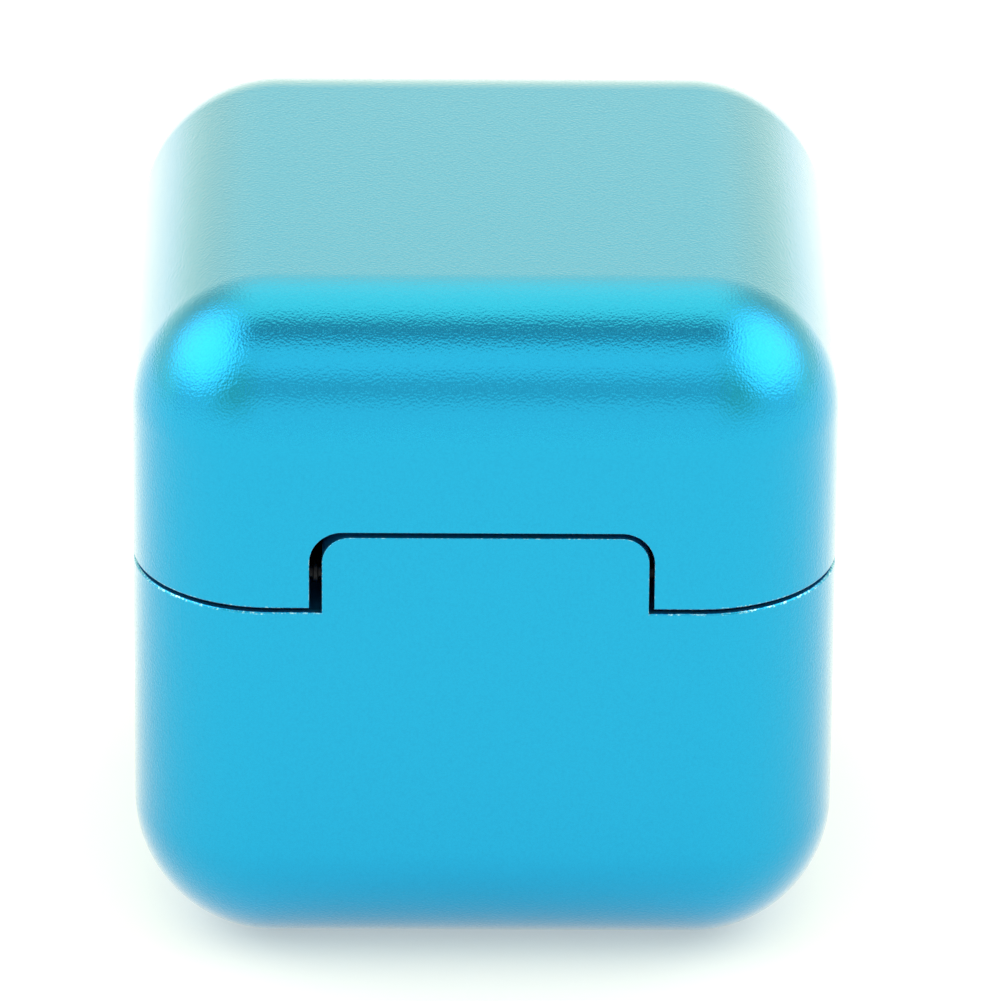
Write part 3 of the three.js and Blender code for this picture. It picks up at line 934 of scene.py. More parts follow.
def finish_piece(
    name: str,
    mesh: bpy.types.Mesh,
    material: bpy.types.Material,
    body: Body,
    slot: str,
    *nodes: str,
    extra: Sequence[tuple[bpy.types.Material, Sequence[int]]] = (),
) -> bpy.types.Object:
    """Turns a piece to metres, dresses it and joins it to the frame.

    Args:
        name: The piece's name.
        mesh: Its mesh in millimetres, in its place.
        material: Its finish.
        body: The body that it rides on.
        slot: The record's slot that its finish comes from. Not used.
        *nodes: The frame's nodes that it stands for.
        extra: Further finishes, each with the faces that have it.

    Returns:
        The finished object, at the origin, unturned and unscaled.
    """
    mesh.transform(Matrix.Scale(MM, 4))
    mesh.name = name
    mesh.materials.clear()
    mesh.materials.append(material)
    for face in mesh.polygons:
        face.material_index = 0
    for number, (finish, faces) in enumerate(extra, start=1):
        mesh.materials.append(finish)
        for index in faces:
            mesh.polygons[index].material_index = number
    piece = temporary_object(name, mesh)
    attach(piece, body.value)
    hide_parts(*nodes)
    LOG.info("%s: %d faces on %s", name, len(mesh.polygons), body.value)
    return piece


def row_of(
    piece: bpy.types.Mesh, material: bpy.types.Material, first: str, last: str
) -> bpy.types.Mesh:
    """Copies a piece, built about the origin, to the middles of two nodes.

    Args:
        piece: The piece's mesh.
        material: Its finish.
        first: The node where the row starts.
        last: The node where the row ends.

    Returns:
        Both copies as one mesh.
    """
    middles = [(low + high) / 2 for low, high in (span(first), span(last))]
    master = temporary_object("row_master", piece)
    values = {
        "Piece": master,
        "Count": 2,
        "Start": tuple(middles[0]),
        "Step": tuple(middles[1] - middles[0]),
    }
    mesh = grown_mesh(row_tree(), material, values)
    bpy.data.objects.remove(master)
    return mesh


def along_hinge(mesh: bpy.types.Mesh) -> bpy.types.Mesh:
    """Lays a piece that was turned about Z along +X."""
    return moved(mesh, Matrix.Rotation(math.pi / 2, 4, "Y"))


# ---- Shells -------------------------------------------------------------------------------------
def tab_outline(
    left: float, right: float, bottom: float, top: float, radius: float, steps: int = 16
) -> np.ndarray:
    """A tab seen from the front: straight sides and round top corners, as X and Z."""
    points = [np.array([[left, bottom], [right, bottom]])]
    for quarter, x in ((0, right - radius), (1, left + radius)):
        turn = np.linspace(quarter, quarter + 1, steps + 1) * math.pi / 2
        arc = radius * np.stack([np.cos(turn), np.sin(turn)], 1)
        points.append(arc + [x, top - radius])
    return np.concatenate(points)


@dataclass
class Shells:
    """The two machined shells, in millimetres."""

    finishes: Finishes
    edge_radius: float = 6.6
    edge_steps: int = 20
    arc_steps: int = 24
    round_steps: int = 48
    edge_break: float = 0.14
    tab_break: float = 0.055
    skin: float = 0.17
    faceting: float = 0.008
    side_wall: float = 4.5
    end_wall: float = 5.5
    floor: float = 4.0
    pocket_radius: float = 3.0
    parting_gap: float = 0.18
    lip_wall: float = 1.2
    lip_height: float = 0.9
    lip_clear: float = 0.12
    lip_start: float = 1.7
    lug_width: float = 15.2
    lug_corner: float = 1.3
    gap_left: float = 0.58
    gap_right: float = 0.24
    gap_top: float = 0.24
    relief_land: float = 0.3
    relief_depth: float = 0.2
    bore: float = 0.6
    bush_room: float = 1.65
    magnet: float = 1.5
    bumper: float = 1.2
    screw: float = 1.0
    fit: float = 0.05
    extra: float = 0.1
    past: float = 1.0
    overshoot: float = 0.05
    least_radius: float = 0.01

    def __post_init__(self) -> None:
        """Takes the cube's overall sizes and the hinge's place from the frame."""
        self.size = span("base_shell")[1]
        lid_low, lid_high = span("lid_shell")
        self.height = lid_high.z
        self.lid_rim = lid_low.z
        self.base_rim = self.lid_rim - self.parting_gap
        self.lug_top = self.size.z
        self.front = -self.size.y
        self.lip_top = self.base_rim + self.lip_height
        self.pocket = (self.size.x - self.side_wall, self.size.y - self.end_wall)
        self.pocket_top = self.height - self.floor
        self.lug_side = self.lug_width / 2
        self.ears = (-self.lug_side - self.gap_left, self.lug_side + self.gap_right)
        self.axis = Vector(frame["joints"][0]["pos_m"]) / MM

    def block(self) -> bpy.types.Mesh:
        """The whole rounded cube, before it is parted."""
        values = {
            "Half Size": (self.size.x, self.size.y, self.height / 2),
            "Edge Radius": self.edge_radius,
            "Steps": self.edge_steps,
        }
        mesh = grown_mesh(rounded_block_tree(), self.finishes.shell, values)
        return moved(mesh, Matrix.Translation((0, 0, self.height / 2)))

    def ringed(
        self,
        half: Sequence[float],
        radius: float,
        end: float,
        up: int,
        profile: Sequence[tuple[float, float]],
        sign: int,
    ) -> bpy.types.Mesh:
        """A square column whose wall follows a profile.

        Args:
            half: Half its width and half its depth.
            radius: The radius of its upright edges.
            end: The height of its end face.
            up: 1 if the end face looks up, or -1 if it looks down.
            profile: Offset and depth below the end face down its side.
            sign: 1 if the offsets are outwards, or -1 if they are inwards.

        Returns:
            A closed mesh.
        """
        rings = []
        for offset, below in profile:
            grow = sign * offset
            corner = max(radius + grow, self.least_radius)
            outline = rounded_outline(half[0] + grow, half[1] + grow, corner, 2 * self.edge_steps)
            rings.append(at_height(outline, end - up * below))
        return loft("column", rings)

    def tab(
        self,
        sides: tuple[float, float],
        top: float,
        radius: float,
        depth: float,
        sign: int,
    ) -> bpy.types.Mesh:
        """A tab that runs back from the hinge wall, with its front edge eased.

        Args:
            sides: Its left and right sides.
            top: The height of its top.
            radius: The radius of its top corners.
            depth: How far back it runs.
            sign: 1 for a notch, whose mouth flares, or -1 for a lug, whose edge is broken.

        Returns:
            A closed mesh that passes through the hinge wall's outer face.
        """
        rings = []
        bottom = self.base_rim - self.past
        for offset, below in flare_profile(self.tab_break, self.overshoot, depth):
            grow = sign * offset
            flat = tab_outline(sides[0] - grow, sides[1] + grow, bottom, top + grow, radius + grow)
            back = np.full(len(flat), self.front + below)
            rings.append(np.column_stack([flat[:, 0], back, flat[:, 1]]))
        return loft("tab", rings)

    def rod(self, left: float, right: float, radius: float) -> bpy.types.Mesh:
        """A cylinder on the hinge axis, as a tool."""
        outline = [(0.0, left), (radius, left), (radius, right), (0.0, right)]
        mesh = along_hinge(turned("rod", outline, self.round_steps))
        return moved(mesh, Matrix.Translation((0, self.axis.y, self.axis.z)))

    def hole(self, node: str, mouth: float, up: int, radius: float) -> bpy.types.Mesh:
        """A blind hole for a piece, with its mouth eased.

        Args:
            node: The node that the hole is for.
            mouth: The height of the face it is cut in.
            up: 1 if the face looks up, or -1 if it looks down.
            radius: The hole's radius.

        Returns:
            The tool that cuts it.
        """
        low, high = span(node)
        bottom = (low.z if up > 0 else high.z) - up * self.extra
        ease = self.edge_break / 2
        depth = abs(mouth - bottom)
        wall = flare_profile(ease, self.overshoot, depth)
        outline = [(0.0, bottom)]
        outline += [(radius + out, mouth - up * below) for out, below in wall]
        outline.append((0.0, mouth + up * self.overshoot))
        middle = (low + high) / 2
        tool = turned("hole", outline, self.round_steps)
        return moved(tool, Matrix.Translation((middle.x, middle.y, 0)))

    def lug(self) -> Workpiece:
        """The hinge lug, whose back is an arc about the hinge axis."""
        reach = self.end_wall + self.past
        sides = (-self.lug_side, self.lug_side)
        lug = Workpiece(self.tab(sides, self.lug_top, self.lug_corner, reach, -1))
        turn_radius = self.end_wall - (self.axis.y - self.front)
        chamfer = self.edge_break
        crest = math.asin((self.lug_top - chamfer - self.axis.z) / turn_radius)
        turn = np.linspace(0, crest, self.arc_steps)
        arc = turn_radius * np.stack([np.cos(turn), np.sin(turn)], 1)
        arc += [self.axis.y, self.axis.z]
        low = self.base_rim - 2 * self.past
        ahead = self.front - self.past
        section = np.concatenate(
            [
                [[ahead, low], [self.axis.y + turn_radius, low]],
                arc,
                [arc[-1] + [-2 * chamfer, 2 * chamfer], [ahead, self.lug_top + chamfer]],
            ]
        )
        wide = self.lug_side + self.past
        rings = [np.column_stack([np.full(len(section), x), section]) for x in (-wide, wide)]
        return lug.keep(loft("lug_section", rings)).keep(self.block())

    def lip(self) -> Workpiece:
        """The lip that stands on the sides and back of the base's rim."""
        half = [p + self.lip_wall for p in self.pocket]
        wall = [(0.0, self.lip_height + self.past), *eased_corner(self.edge_break)]
        radius = self.pocket_radius + self.lip_wall
        lip = Workpiece(self.ringed(half, radius, self.lip_top, 1, wall, -1))
        start = self.lip_start - self.pocket[1]
        far = self.size.y + self.past
        return lip.cut(box_tool((-far, -far, 0), (far, start, self.height)))

    def base(self) -> bpy.types.Mesh:
        """The lower shell."""
        radius = self.edge_radius
        land = self.relief_land
        wall = keeper_profile(self.edge_break, self.overshoot, self.height)
        stock = Workpiece(self.ringed(self.size.xy, radius, self.base_rim, 1, wall, -1))
        relief = Workpiece(
            column_tool(
                self.size.x - land,
                self.size.y - land,
                radius - land,
                self.base_rim - self.relief_depth,
                self.base_rim + self.past,
            )
        )
        far = self.size.y + self.past
        relief.cut(box_tool((-far, -self.pocket[1], 0), (far, far, self.height)))
        stock.cut(relief).weld(self.lip())
        flared = flare_profile(self.edge_break, self.overshoot, self.lip_top - self.floor)
        shell = Workpiece(self.block()).keep(stock)
        shell.cut(self.ringed(self.pocket, self.pocket_radius, self.lip_top, 1, flared, 1))
        shell.weld(self.lug())
        beyond = self.lug_side + self.past
        shell.cut(self.rod(-beyond, beyond, self.bore))
        for side in Side:
            shell.cut(
                self.hole(f"base_magnet_{side.word}", self.base_rim, 1, self.magnet + self.fit),
                self.hole(f"rim_bumper_{side.word}", self.base_rim, 1, self.bumper + self.fit),
                self.hole(f"base_liner_screw_{side.word}", self.floor, 1, self.screw + self.fit),
            )
        return smoothed(shell.mesh)

    def lid(self) -> bpy.types.Mesh:
        """The upper shell."""
        wall = keeper_profile(self.edge_break, self.overshoot, self.height)
        stock = self.ringed(self.size.xy, self.edge_radius, self.lid_rim, -1, wall, -1)
        shell = Workpiece(self.block()).keep(stock)
        high = column_tool(*self.pocket, self.pocket_radius, 0, self.pocket_top)
        reach = self.lip_wall + self.lip_clear
        half = [p + reach for p in self.pocket]
        depth = self.lip_top + self.lip_clear - self.lid_rim
        mouth = flare_profile(self.edge_break / 2, self.overshoot, depth)
        radius = self.pocket_radius + reach
        rebate = self.ringed(half, radius, self.lid_rim, -1, mouth, 1)
        notch = self.tab(
            self.ears,
            self.lug_top + self.gap_top,
            self.lug_corner + self.gap_top,
            self.end_wall + self.past,
            1,
        )
        bore = self.rod(self.ears[0] - self.bush_room, self.ears[1] + self.bush_room, self.bore)
        shell.cut(high, rebate, notch, bore)
        for side in Side:
            magnet, screw = f"lid_magnet_{side.word}", f"lid_liner_screw_{side.word}"
            shell.cut(
                self.hole(magnet, self.lid_rim, -1, self.magnet + self.fit),
                self.hole(screw, self.pocket_top, -1, self.screw + self.fit),
            )
        return smoothed(shell.mesh)

    def faces_between(self, mesh: bpy.types.Mesh, least: float, most: float) -> list[int]:
        """The faces whose middles lie between two depths below the cube's outer skin."""
        radius = self.edge_radius
        core = Vector((self.size.x, self.size.y, self.height / 2)) - Vector([radius] * 3)
        middle = Vector((0, 0, self.height / 2))
        found = []
        for face in mesh.polygons:
            reach = [abs(v) - c for v, c in zip(face.center - middle, core)]
            outside = Vector([max(r, 0.0) for r in reach]).length
            depth = radius - outside - min(max(reach), 0.0)
            if least < depth <= most:
                found.append(face.index)
        return found

    def make(self) -> None:
        """Builds and dresses both shells."""
        for name, mesh, body in (
            ("base", self.base(), Body.BASE),
            ("lid", self.lid(), Body.LID),
        ):
            finish_piece(
                f"{name}_block",
                mesh,
                self.finishes.shell,
                body,
                "anodised_aluminium",
                f"{name}_shell",
                extra=(
                    (self.finishes.milled, self.faces_between(mesh, self.skin, self.height)),
                    # Eased edges: pale specks, partly bare metal and partly painted glints.
                    (self.finishes.rubbed, self.faces_between(mesh, self.faceting, self.skin)),
                ),
            )


# ---- Hinge --------------------------------------------------------------------------------------
def rod_outline(radius: float, low: float, high: float, ease: float) -> list[tuple[float, float]]:
    """A plain rod's outline about its axis, with both ends eased."""
    corners = eased_corner(ease)
    lower = [(radius - inset, low + below) for inset, below in reversed(corners)]
    upper = [(radius - inset, high - below) for inset, below in corners]
    return [(0.0, low), *lower, *upper, (0.0, high)]


def tube_outline(
    outer: float, inner: float, low: float, high: float, ease: float
) -> list[tuple[float, float]]:
    """A tube's outline about its axis, with its four edges chamfered."""
    return [
        (inner, low + ease),
        (inner + ease, low),
        (outer - ease, low),
        (outer, low + ease),
        (outer, high - ease),
        (outer - ease, high),
        (inner + ease, high),
        (inner, high - ease),
    ]


@dataclass
class Hinge:
    """The spring bar in the lug, and the bushes that it turns in, in millimetres."""

    finishes: Finishes
    barrel: tuple[float, float] = (0.55, 0.37)
    tip: float = 0.33
    flange: float = 0.5
    flange_thick: float = 0.19
    flange_ease: float = 0.2
    flange_gap: float = 0.05
    nose: float = 1.47
    collar_thick: float = 0.24
    bush_ease: float = 0.05
    wire: float = 0.07
    wire_sides: int = 10
    coil_room: float = 0.025
    coil_steps: int = 32
    turns: float = 13.0
    crimp: float = 0.05
    crimp_pitch: float = 0.5
    steps: int = 48

    def on_axis(self, mesh: bpy.types.Mesh) -> bpy.types.Mesh:
        """Lays a piece turned about Z on the hinge axis, its heights becoming places along X."""
        low, high = span("hinge_barrel")
        middle = (low + high) / 2
        return moved(along_hinge(mesh), Matrix.Translation((0, middle.y, middle.z)))

    def barrel_outline(self) -> list[tuple[float, float]]:
        """The barrel, with two crimp grooves that hold the fixed tip."""
        low, high = span("hinge_barrel")
        outer, inner = self.barrel
        outline = tube_outline(outer, inner, low.x, high.x, self.crimp)
        grooves = []
        for place in (high.x - 2 * self.crimp_pitch, high.x - self.crimp_pitch):
            for shift, sink in ((-2, 0), (-1, 1), (1, 1), (2, 0)):
                grooves.append((outer - sink * self.crimp, place + shift * self.crimp))
        return [*outline[:4], *grooves, *outline[4:]]

    def tip_outline(
        self, low: float, high: float, flange: tuple[float, float]
    ) -> list[tuple[float, float]]:
        """A tip: a round-ended shaft with a flange."""
        shaft = rod_outline(self.tip, low, high, self.tip / 2)
        half = len(shaft) // 2
        start, end = flange
        ease = self.flange_thick * self.flange_ease
        disc = [
            (self.tip, start),
            (self.flange - ease, start),
            (self.flange, start + ease),
            (self.flange, end - ease),
            (self.flange - ease, end),
            (self.tip, end),
        ]
        return [*shaft[:half], *disc, *shaft[half:]]

    def make_steel(
        self, name: str, outline: Sequence[tuple[float, float]], body: Body, node: str
    ) -> None:
        """Turns one of the bar's steel pieces from its outline, and dresses it."""
        mesh = smoothed(self.on_axis(turned(name, outline, self.steps)))
        finish_piece(name, mesh, self.finishes.blacked, body, "blacked_steel", node)

    def make(self) -> None:
        """Builds and dresses the hinge's pieces."""
        self.make_steel("spring_bar_barrel", self.barrel_outline(), Body.BASE, "hinge_barrel")
        low, high = span("hinge_fixed_tip")
        start = span("hinge_barrel")[1].x + self.flange_gap
        outline = self.tip_outline(low.x, high.x, (start, start + self.flange_thick))
        self.make_steel("spring_bar_fixed_tip", outline, Body.BASE, "hinge_fixed_tip")
        low, high = span("hinge_sliding_tip")
        start = low.x + self.nose
        outline = self.tip_outline(low.x, high.x, (start, start + self.collar_thick))
        self.make_steel("spring_bar_sliding_tip", outline, Body.TIP, "hinge_sliding_tip")
        self.make_spring()
        self.make_bushes()

    def make_spring(self) -> None:
        """Winds the spring at one length; in the bar it shortens as the sliding tip is drawn back.
        """
        low, high = span("hinge_spring")
        length = high.x - low.x - 2 * self.wire
        values = {
            "Coil Radius": self.barrel[1] - self.coil_room - self.wire,
            "Wire Radius": self.wire,
            "Turns": self.turns,
            "Length": length,
            "Steps per Turn": self.coil_steps,
            "Wire Sides": self.wire_sides,
        }
        steel = self.finishes.spring
        coil = self.on_axis(grown_mesh(coil_tree(), steel, values))
        coil = moved(coil, Matrix.Translation((low.x + self.wire, 0, 0)))
        spring = finish_piece(
            "coil_spring", smoothed(coil), steel, Body.BASE, "spring_steel", "hinge_spring"
        )
        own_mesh(spring)

    def make_bushes(self) -> None:
        """Turns the two bushes in the lid's ears."""
        nodes = [f"ear_bush_{side.word}" for side in Side]
        low, high = span(nodes[0])
        half = (high.x - low.x) / 2
        outline = tube_outline(*self.barrel, -half, half, self.bush_ease)
        bush = smoothed(along_hinge(turned("bush", outline, self.steps)))
        acetal = self.finishes.acetal
        mesh = row_of(bush, acetal, *nodes)
        finish_piece("ear_bushes", mesh, acetal, Body.LID, "black_acetal", *nodes)


# ---- Closure ------------------------------------------------------------------------------------
@dataclass
class Closure:
    """The magnets that hold the lid shut and the buttons that it lands on, in millimetres."""

    finishes: Finishes
    ease: float = 0.15
    dome: float = 0.35
    steps: int = 64

    def make(self) -> None:
        """Builds and dresses the magnets and the buttons."""
        nickel, silicone = self.finishes.nickel, self.finishes.silicone
        for body in (Body.BASE, Body.LID):
            nodes = [f"{body.value}_magnet_{side.word}" for side in Side]
            mesh = self.row(nodes, nickel, self.ease)
            finish_piece(f"{body.value}_magnets", mesh, nickel, body, "nickel_plate", *nodes)
        nodes = [f"rim_bumper_{side.word}" for side in Side]
        mesh = self.row(nodes, silicone, self.dome)
        finish_piece("rim_bumpers", mesh, silicone, Body.BASE, "silicone", *nodes)

    def row(
        self, nodes: Sequence[str], material: bpy.types.Material, ease: float
    ) -> bpy.types.Mesh:
        """Two copies of an upright button that fills its nodes' boxes."""
        low, high = span(nodes[0])
        radius, half = (high.x - low.x) / 2, (high.z - low.z) / 2
        piece = smoothed(turned("button", rod_outline(radius, -half, half, ease), self.steps))
        return row_of(piece, material, *nodes)


# ---- Lining -------------------------------------------------------------------------------------
@dataclass
class Lining:
    """The liners, their screws and their felt pads, in millimetres."""

    finishes: Finishes
    wall: float = 1.0
    radius: float = 2.9
    pad_radius: float = 1.7
    rim_ease: float = 0.22
    head: tuple[float, float] = (1.8, 0.8)
    shank: float = 1.0
    socket: tuple[float, float] = (0.72, 0.5)
    thread_pitch: float = 0.4
    thread_depth: float = 0.12
    thread_sides: int = 32
    thread_rows: int = 60
    steps: int = 64
    fit: float = 0.05
    pad_ease: float = 0.32
    pad_facets: int = 6
    pad_crease_deg: float = 60.0
    crown: float = 0.06
    crown_shares: tuple[float, float] = (0.08, 0.97)
    crown_rings: int = 14
    least_radius: float = 0.05
    fibres_per_mm2: float = 3.0
    fibre: tuple[float, float] = (0.7, 0.011)
    fibre_arch: float = 0.18
    fibre_rings: int = 5
    fibre_scales: tuple[float, float] = (0.6, 1.2)
    fibre_tilt: float = 0.5
    seed: int = 7

    def hole_outline(self, half: float, room: float) -> list[tuple[float, float]]:
        """The outline of a countersunk screw's hole, with some room round the screw."""
        head, deep = self.head
        return [
            (0.0, -half),
            (self.shank + room, -half),
            (self.shank + room, half - deep),
            (head + room, half),
            (head + room, half + room),
            (0.0, half + room),
        ]

    def screw(self, up: int) -> bpy.types.Mesh:
        """A countersunk screw about its middle, with its thread and its hexagonal socket."""
        low, high = span("base_liner_screw_left")
        half = (high.z - low.z) / 2
        head, deep = self.head
        ease = self.fit
        outline = [
            (0.0, half - deep - ease),
            (self.shank - self.thread_depth, half - deep - ease),
            (self.shank - ease, half - deep),
            (head - ease, half - ease),
            (head - ease, half),
            (0.0, half),
        ]
        values = {
            "Radius": self.shank,
            "Length": 2 * half - deep,
            "Pitch": self.thread_pitch,
            "Depth": self.thread_depth,
            "Sides": self.thread_sides,
            "Rows": self.thread_rows,
        }
        shank = grown_mesh(screw_tree(), self.finishes.blacked, values)
        moved(shank, Matrix.Translation((0, 0, -deep / 2)))
        turn = np.arange(6) * math.pi / 3
        size, sink = self.socket
        hexagon = size * np.stack([np.cos(turn), np.sin(turn)], 1)
        socket = loft("socket", [at_height(hexagon, half - sink), at_height(hexagon, half + sink)])
        screw = Workpiece(turned("head", outline, self.steps)).weld(shank).cut(socket)
        if up < 0:
            moved(screw.mesh, Matrix.Rotation(math.pi, 4, "X"))
        return smoothed(screw.mesh)

    def liner(self, body: Body, up: int) -> bpy.types.Mesh:
        """A moulded cup, open upwards if up is 1 and downwards if it is -1."""
        low, high = span(f"{body.value}_liner")
        mouth = high.z if up > 0 else low.z
        deep = high.z - low.z
        corners = eased_corner(self.rim_ease)
        outer = [(self.rim_ease, deep), (0.0, deep - self.rim_ease), *corners]
        rings = []
        for inset, below in outer:
            outline = rounded_outline(high.x - inset, high.y - inset, self.radius - inset)
            rings.append(at_height(outline, mouth - up * below))
        cup = Workpiece(loft("liner", rings))
        rings = []
        for outset, below in flare_profile(self.rim_ease, self.fit, deep - self.wall):
            grow = outset - self.wall
            outline = rounded_outline(high.x + grow, high.y + grow, self.radius + grow)
            rings.append(at_height(outline, mouth - up * below))
        cup.cut(loft("hollow", rings))
        for side in Side:
            low, high = span(f"{body.value}_liner_screw_{side.word}")
            half = (high.z - low.z) / 2
            room = turned("screw_room", self.hole_outline(half, self.fit), self.steps)
            if up < 0:
                moved(room, Matrix.Rotation(math.pi, 4, "X"))
            cup.cut(moved(room, Matrix.Translation((low + high) / 2)))
        return smoothed(cup.mesh)

    def pad(self, body: Body, up: int) -> bpy.types.Mesh:
        """A felt pad with a soft edge, a slight crown and loose fibres on its face."""
        low, high = span(f"{body.value}_pad")
        half = (high.z - low.z) / 2
        edge = eased_corner(self.pad_ease, self.pad_facets)

        def ring(inset: float, height: float) -> np.ndarray:
            """The pad's outline, drawn in and lifted to a height."""
            radius = max(self.pad_radius - inset, self.least_radius)
            return at_height(rounded_outline(high.x - inset, high.y - inset, radius), height)

        rings = [ring(inset, below - half) for inset, below in reversed(edge)]
        rings += [ring(inset, half - self.crown - below) for inset, below in edge]
        inner = edge[-1][0]
        for share in np.linspace(*self.crown_shares, self.crown_rings):
            rise = self.crown * math.sin(share * math.pi / 2)
            rings.append(ring(inner + share * (high.x - inner), half - self.crown + rise))
        pad = temporary_object("pad", smoothed(loft("pad", rings), self.pad_crease_deg))
        fibre = temporary_object("fibre", self.fibre_mesh())
        least, most = self.fibre_scales
        values = {
            "Pad": pad,
            "Fibre": fibre,
            "Fibres per Square Unit": self.fibres_per_mm2,
            "Least Scale": least,
            "Most Scale": most,
            "Tilt": (self.fibre_tilt, self.fibre_tilt, math.tau),
            "Seed": self.seed,
        }
        mesh = grown_mesh(fibre_tree(), self.finishes.felt, values)
        for scratch in (pad, fibre):
            bpy.data.objects.remove(scratch)
        if up < 0:
            moved(mesh, Matrix.Rotation(math.pi, 4, "X"))
        return moved(mesh, Matrix.Translation((0, 0, (low.z + high.z) / 2)))

    def fibre_mesh(self) -> bpy.types.Mesh:
        """One arched fibre of three sides, lying along X."""
        length, radius = self.fibre
        turn = np.arange(3) * 2 * math.pi / 3
        rings = []
        for share in np.linspace(-0.5, 0.5, self.fibre_rings):
            rise = length * self.fibre_arch * (1 - 4 * share * share)
            section = radius * np.stack([np.cos(turn), np.sin(turn)], 1)
            rings.append(np.column_stack([np.full(3, share * length), section + [0, rise]]))
        return loft("fibre", rings)

    def make(self) -> None:
        """Builds and dresses the lining of both shells."""
        for body, up in ((Body.BASE, 1), (Body.LID, -1)):
            name = body.value
            finish_piece(
                f"{name}_cup",
                self.liner(body, up),
                self.finishes.liner,
                body,
                "liner_plastic",
                f"{name}_liner",
            )
            nodes = [f"{name}_liner_screw_{side.word}" for side in Side]
            blacked = self.finishes.blacked
            screws = row_of(self.screw(up), blacked, *nodes)
            finish_piece(f"{name}_cup_screws", screws, blacked, body, "blacked_steel", *nodes)
            felt = self.finishes.felt
            pad = finish_piece(f"{name}_felt", self.pad(body, up), felt, body, "felt", f"{name}_pad")


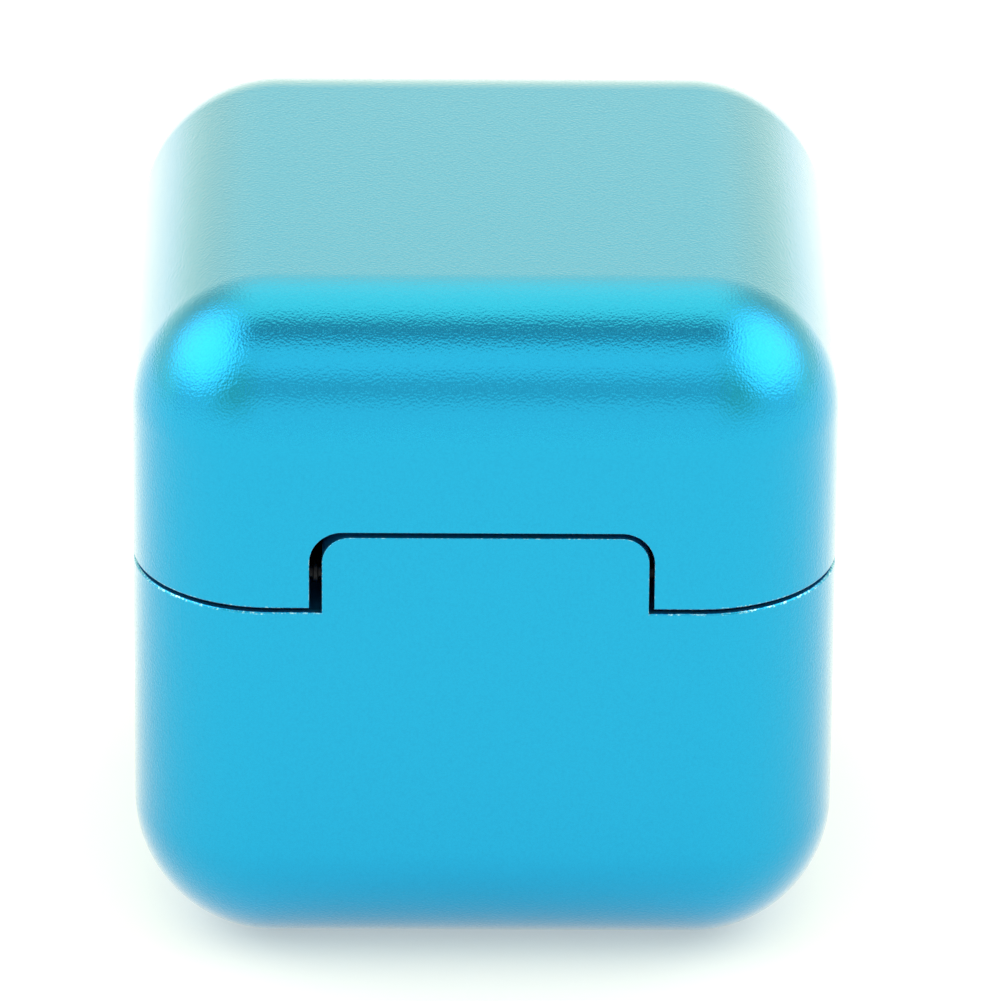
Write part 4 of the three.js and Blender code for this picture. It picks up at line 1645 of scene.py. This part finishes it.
# ---- Studio -------------------------------------------------------------------------------------
@dataclass
class Studio:
    """The floor, the light and the camera, in millimetres and degrees.

    Each of the tent's bands has an angle, which runs from the camera's horizon over the top to the
    far one, a brightness, and a warmth, which is the share of blue that its light lacks.
    """

    floor_size: float = 6000.0
    floor_drop: float = 0.02
    distance: float = 508.2
    elevation: float = 25.3
    turn: float = -0.487
    roll: float = 0.493
    aim_right: float = 0.84
    aim_up: float = -0.05
    lens: float = 380.5
    sensor: float = 36.0
    clip: tuple[float, float] = (10.0, 20000.0)
    peak: float = 2.6
    bands: tuple[tuple[float, float, float], ...] = (
        (0, 1.35, 0.1),
        (24, 1.35, 0.1),
        (31, 0.86, 0.05),
        (40, 0.88, 0.05),
        (50, 1.45, 0.1),
        (72, 1.42, 0.12),
        (80, 0.5, 0.0),
        (90, 0.5, 0.0),
        (102, 1.75, 0.25),
        (135, 1.75, 0.25),
        (146, 1.34, 0.24),
        (180, 1.28, 0.28),
    )
    side_light: float = 0.85
    side_warmth: float = 0.3
    side_reach: tuple[float, float] = (0.22, 0.5)
    side_rise: tuple[float, float] = (0.1, 0.42)
    box_facing: tuple[float, float, float] = (0.78, 0.0, 0.62)
    box_edge: float = 0.72

    def light_colour(self, light: float, warmth: float) -> tuple[float, float, float, float]:
        """A brightness as a share of the brightest light, lacking some blue where it is warm."""
        share = light / self.peak
        return share, share, share * (1 - warmth), 1.0

    def floor(self) -> None:
        """Lays the paper floor just under the cube."""
        half = self.floor_size / 2 * MM
        corners = [(-half, -half, 0), (half, -half, 0), (half, half, 0), (-half, half, 0)]
        mesh = bpy.data.meshes.new("floor")
        mesh.from_pydata(corners, [], [(0, 1, 2, 3)])
        mesh.materials.append(StudioFloor().build())
        floor = temporary_object("paper_floor", mesh)
        floor.location.z = -self.floor_drop * MM

    def world(self) -> None:
        """Lights the cube from a soft tent whose brightness changes with height and side."""
        world = bpy.data.worlds.new("light_tent")
        bpy.context.scene.world = world
        world.use_nodes = True
        tree = world.node_tree
        tree.nodes.clear()
        facing = add_node(tree, "ShaderNodeTexCoord").outputs["Generated"]
        axes = add_node(tree, "ShaderNodeSeparateXYZ", {0: facing})
        flip = {0: axes.outputs["Y"], 1: -1.0}
        back = add_node(tree, "ShaderNodeMath", flip, operation="MULTIPLY")
        climb = {0: axes.outputs["Z"], 1: back}
        angle = add_node(tree, "ShaderNodeMath", climb, operation="ARCTAN2")
        height = add_node(tree, "ShaderNodeMath", {0: angle, 1: math.pi}, operation="DIVIDE")
        ramp = add_node(tree, "ShaderNodeValToRGB", {"Fac": height})
        stops = ramp.color_ramp.elements
        while len(stops) < len(self.bands):
            stops.new(0.5)
        for stop, (degrees, light, warmth) in zip(stops, self.bands):
            stop.position = degrees / 180
            stop.color = self.light_colour(light, warmth)
        wide = add_node(tree, "ShaderNodeMath", {0: axes.outputs["X"]}, operation="ABSOLUTE")
        start, end = self.side_reach
        away = {"Value": wide, "From Min": start, "From Max": end}
        sideways = add_node(tree, "ShaderNodeMapRange", away)
        low, high = self.side_rise
        above = {"Value": axes.outputs["Z"], "From Min": low, "From Max": high}
        raised = add_node(tree, "ShaderNodeMapRange", above)
        both = {0: sideways, 1: raised}
        aside = add_node(tree, "ShaderNodeMath", both, operation="MULTIPLY")
        folded = {0: wide, 1: axes.outputs["Y"], 2: axes.outputs["Z"]}
        mirrored = add_node(tree, "ShaderNodeCombineXYZ", folded)
        towards = {0: mirrored, 1: self.box_facing}
        near = add_node(tree, "ShaderNodeVectorMath", towards, operation="DOT_PRODUCT")
        softbox = add_node(tree, "ShaderNodeValToRGB", {"Fac": near.outputs["Value"]})
        softbox.color_ramp.interpolation = "EASE"
        side = self.light_colour(self.side_light, self.side_warmth)
        dim, lit = softbox.color_ramp.elements
        dim.position, dim.color = self.box_edge, side
        lit.position, lit.color = 1.0, self.light_colour(self.peak, 0.0)
        blend = {0: aside, 6: ramp.outputs["Color"], 7: softbox.outputs["Color"]}
        mixed = add_node(tree, "ShaderNodeMix", blend, data_type="RGBA")
        light = {"Color": mixed.outputs[2], "Strength": self.peak}
        background = add_node(tree, "ShaderNodeBackground", light)
        add_node(tree, "ShaderNodeOutputWorld", {"Surface": background})

    def camera(self) -> None:
        """Sets the camera up in front of the hinge wall, looking slightly down."""
        low, high = (Vector(corner) for corner in FRAME_BOX)
        centre = (low + high) / 2
        rise = math.radians(self.elevation)
        away = Vector((0, -math.cos(rise), math.sin(rise)))
        away.rotate(Matrix.Rotation(math.radians(self.turn), 3, "Z"))
        place = centre + away * self.distance * MM
        facing = away.to_track_quat("Z", "Y").to_matrix()
        aim = centre + facing @ Vector((self.aim_right, self.aim_up, 0)) * MM
        look = (place - aim).to_track_quat("Z", "Y").to_matrix().to_4x4()
        data = bpy.data.cameras.new("camera")
        data.lens = self.lens
        data.sensor_width = self.sensor
        data.clip_start, data.clip_end = (depth * MM for depth in self.clip)
        camera = bpy.data.objects.new("camera", data)
        bpy.context.scene.collection.objects.link(camera)
        roll = Matrix.Rotation(math.radians(self.roll), 4, "Z")
        camera.matrix_world = Matrix.Translation(place) @ look @ roll
        bpy.context.scene.camera = camera

    def make(self) -> None:
        """Sets the studio up."""
        self.floor()
        self.world()
        self.camera()
        bpy.context.scene.view_settings.view_transform = "Standard"


def main() -> None:
    """Builds the cube in its studio."""
    logging.basicConfig(level=logging.INFO, format="%(message)s")
    finishes = Finishes()
    Studio().make()
    for assembly in (Shells, Hinge, Closure, Lining):
        assembly(finishes).make()


if __name__ == "__main__":
    main()
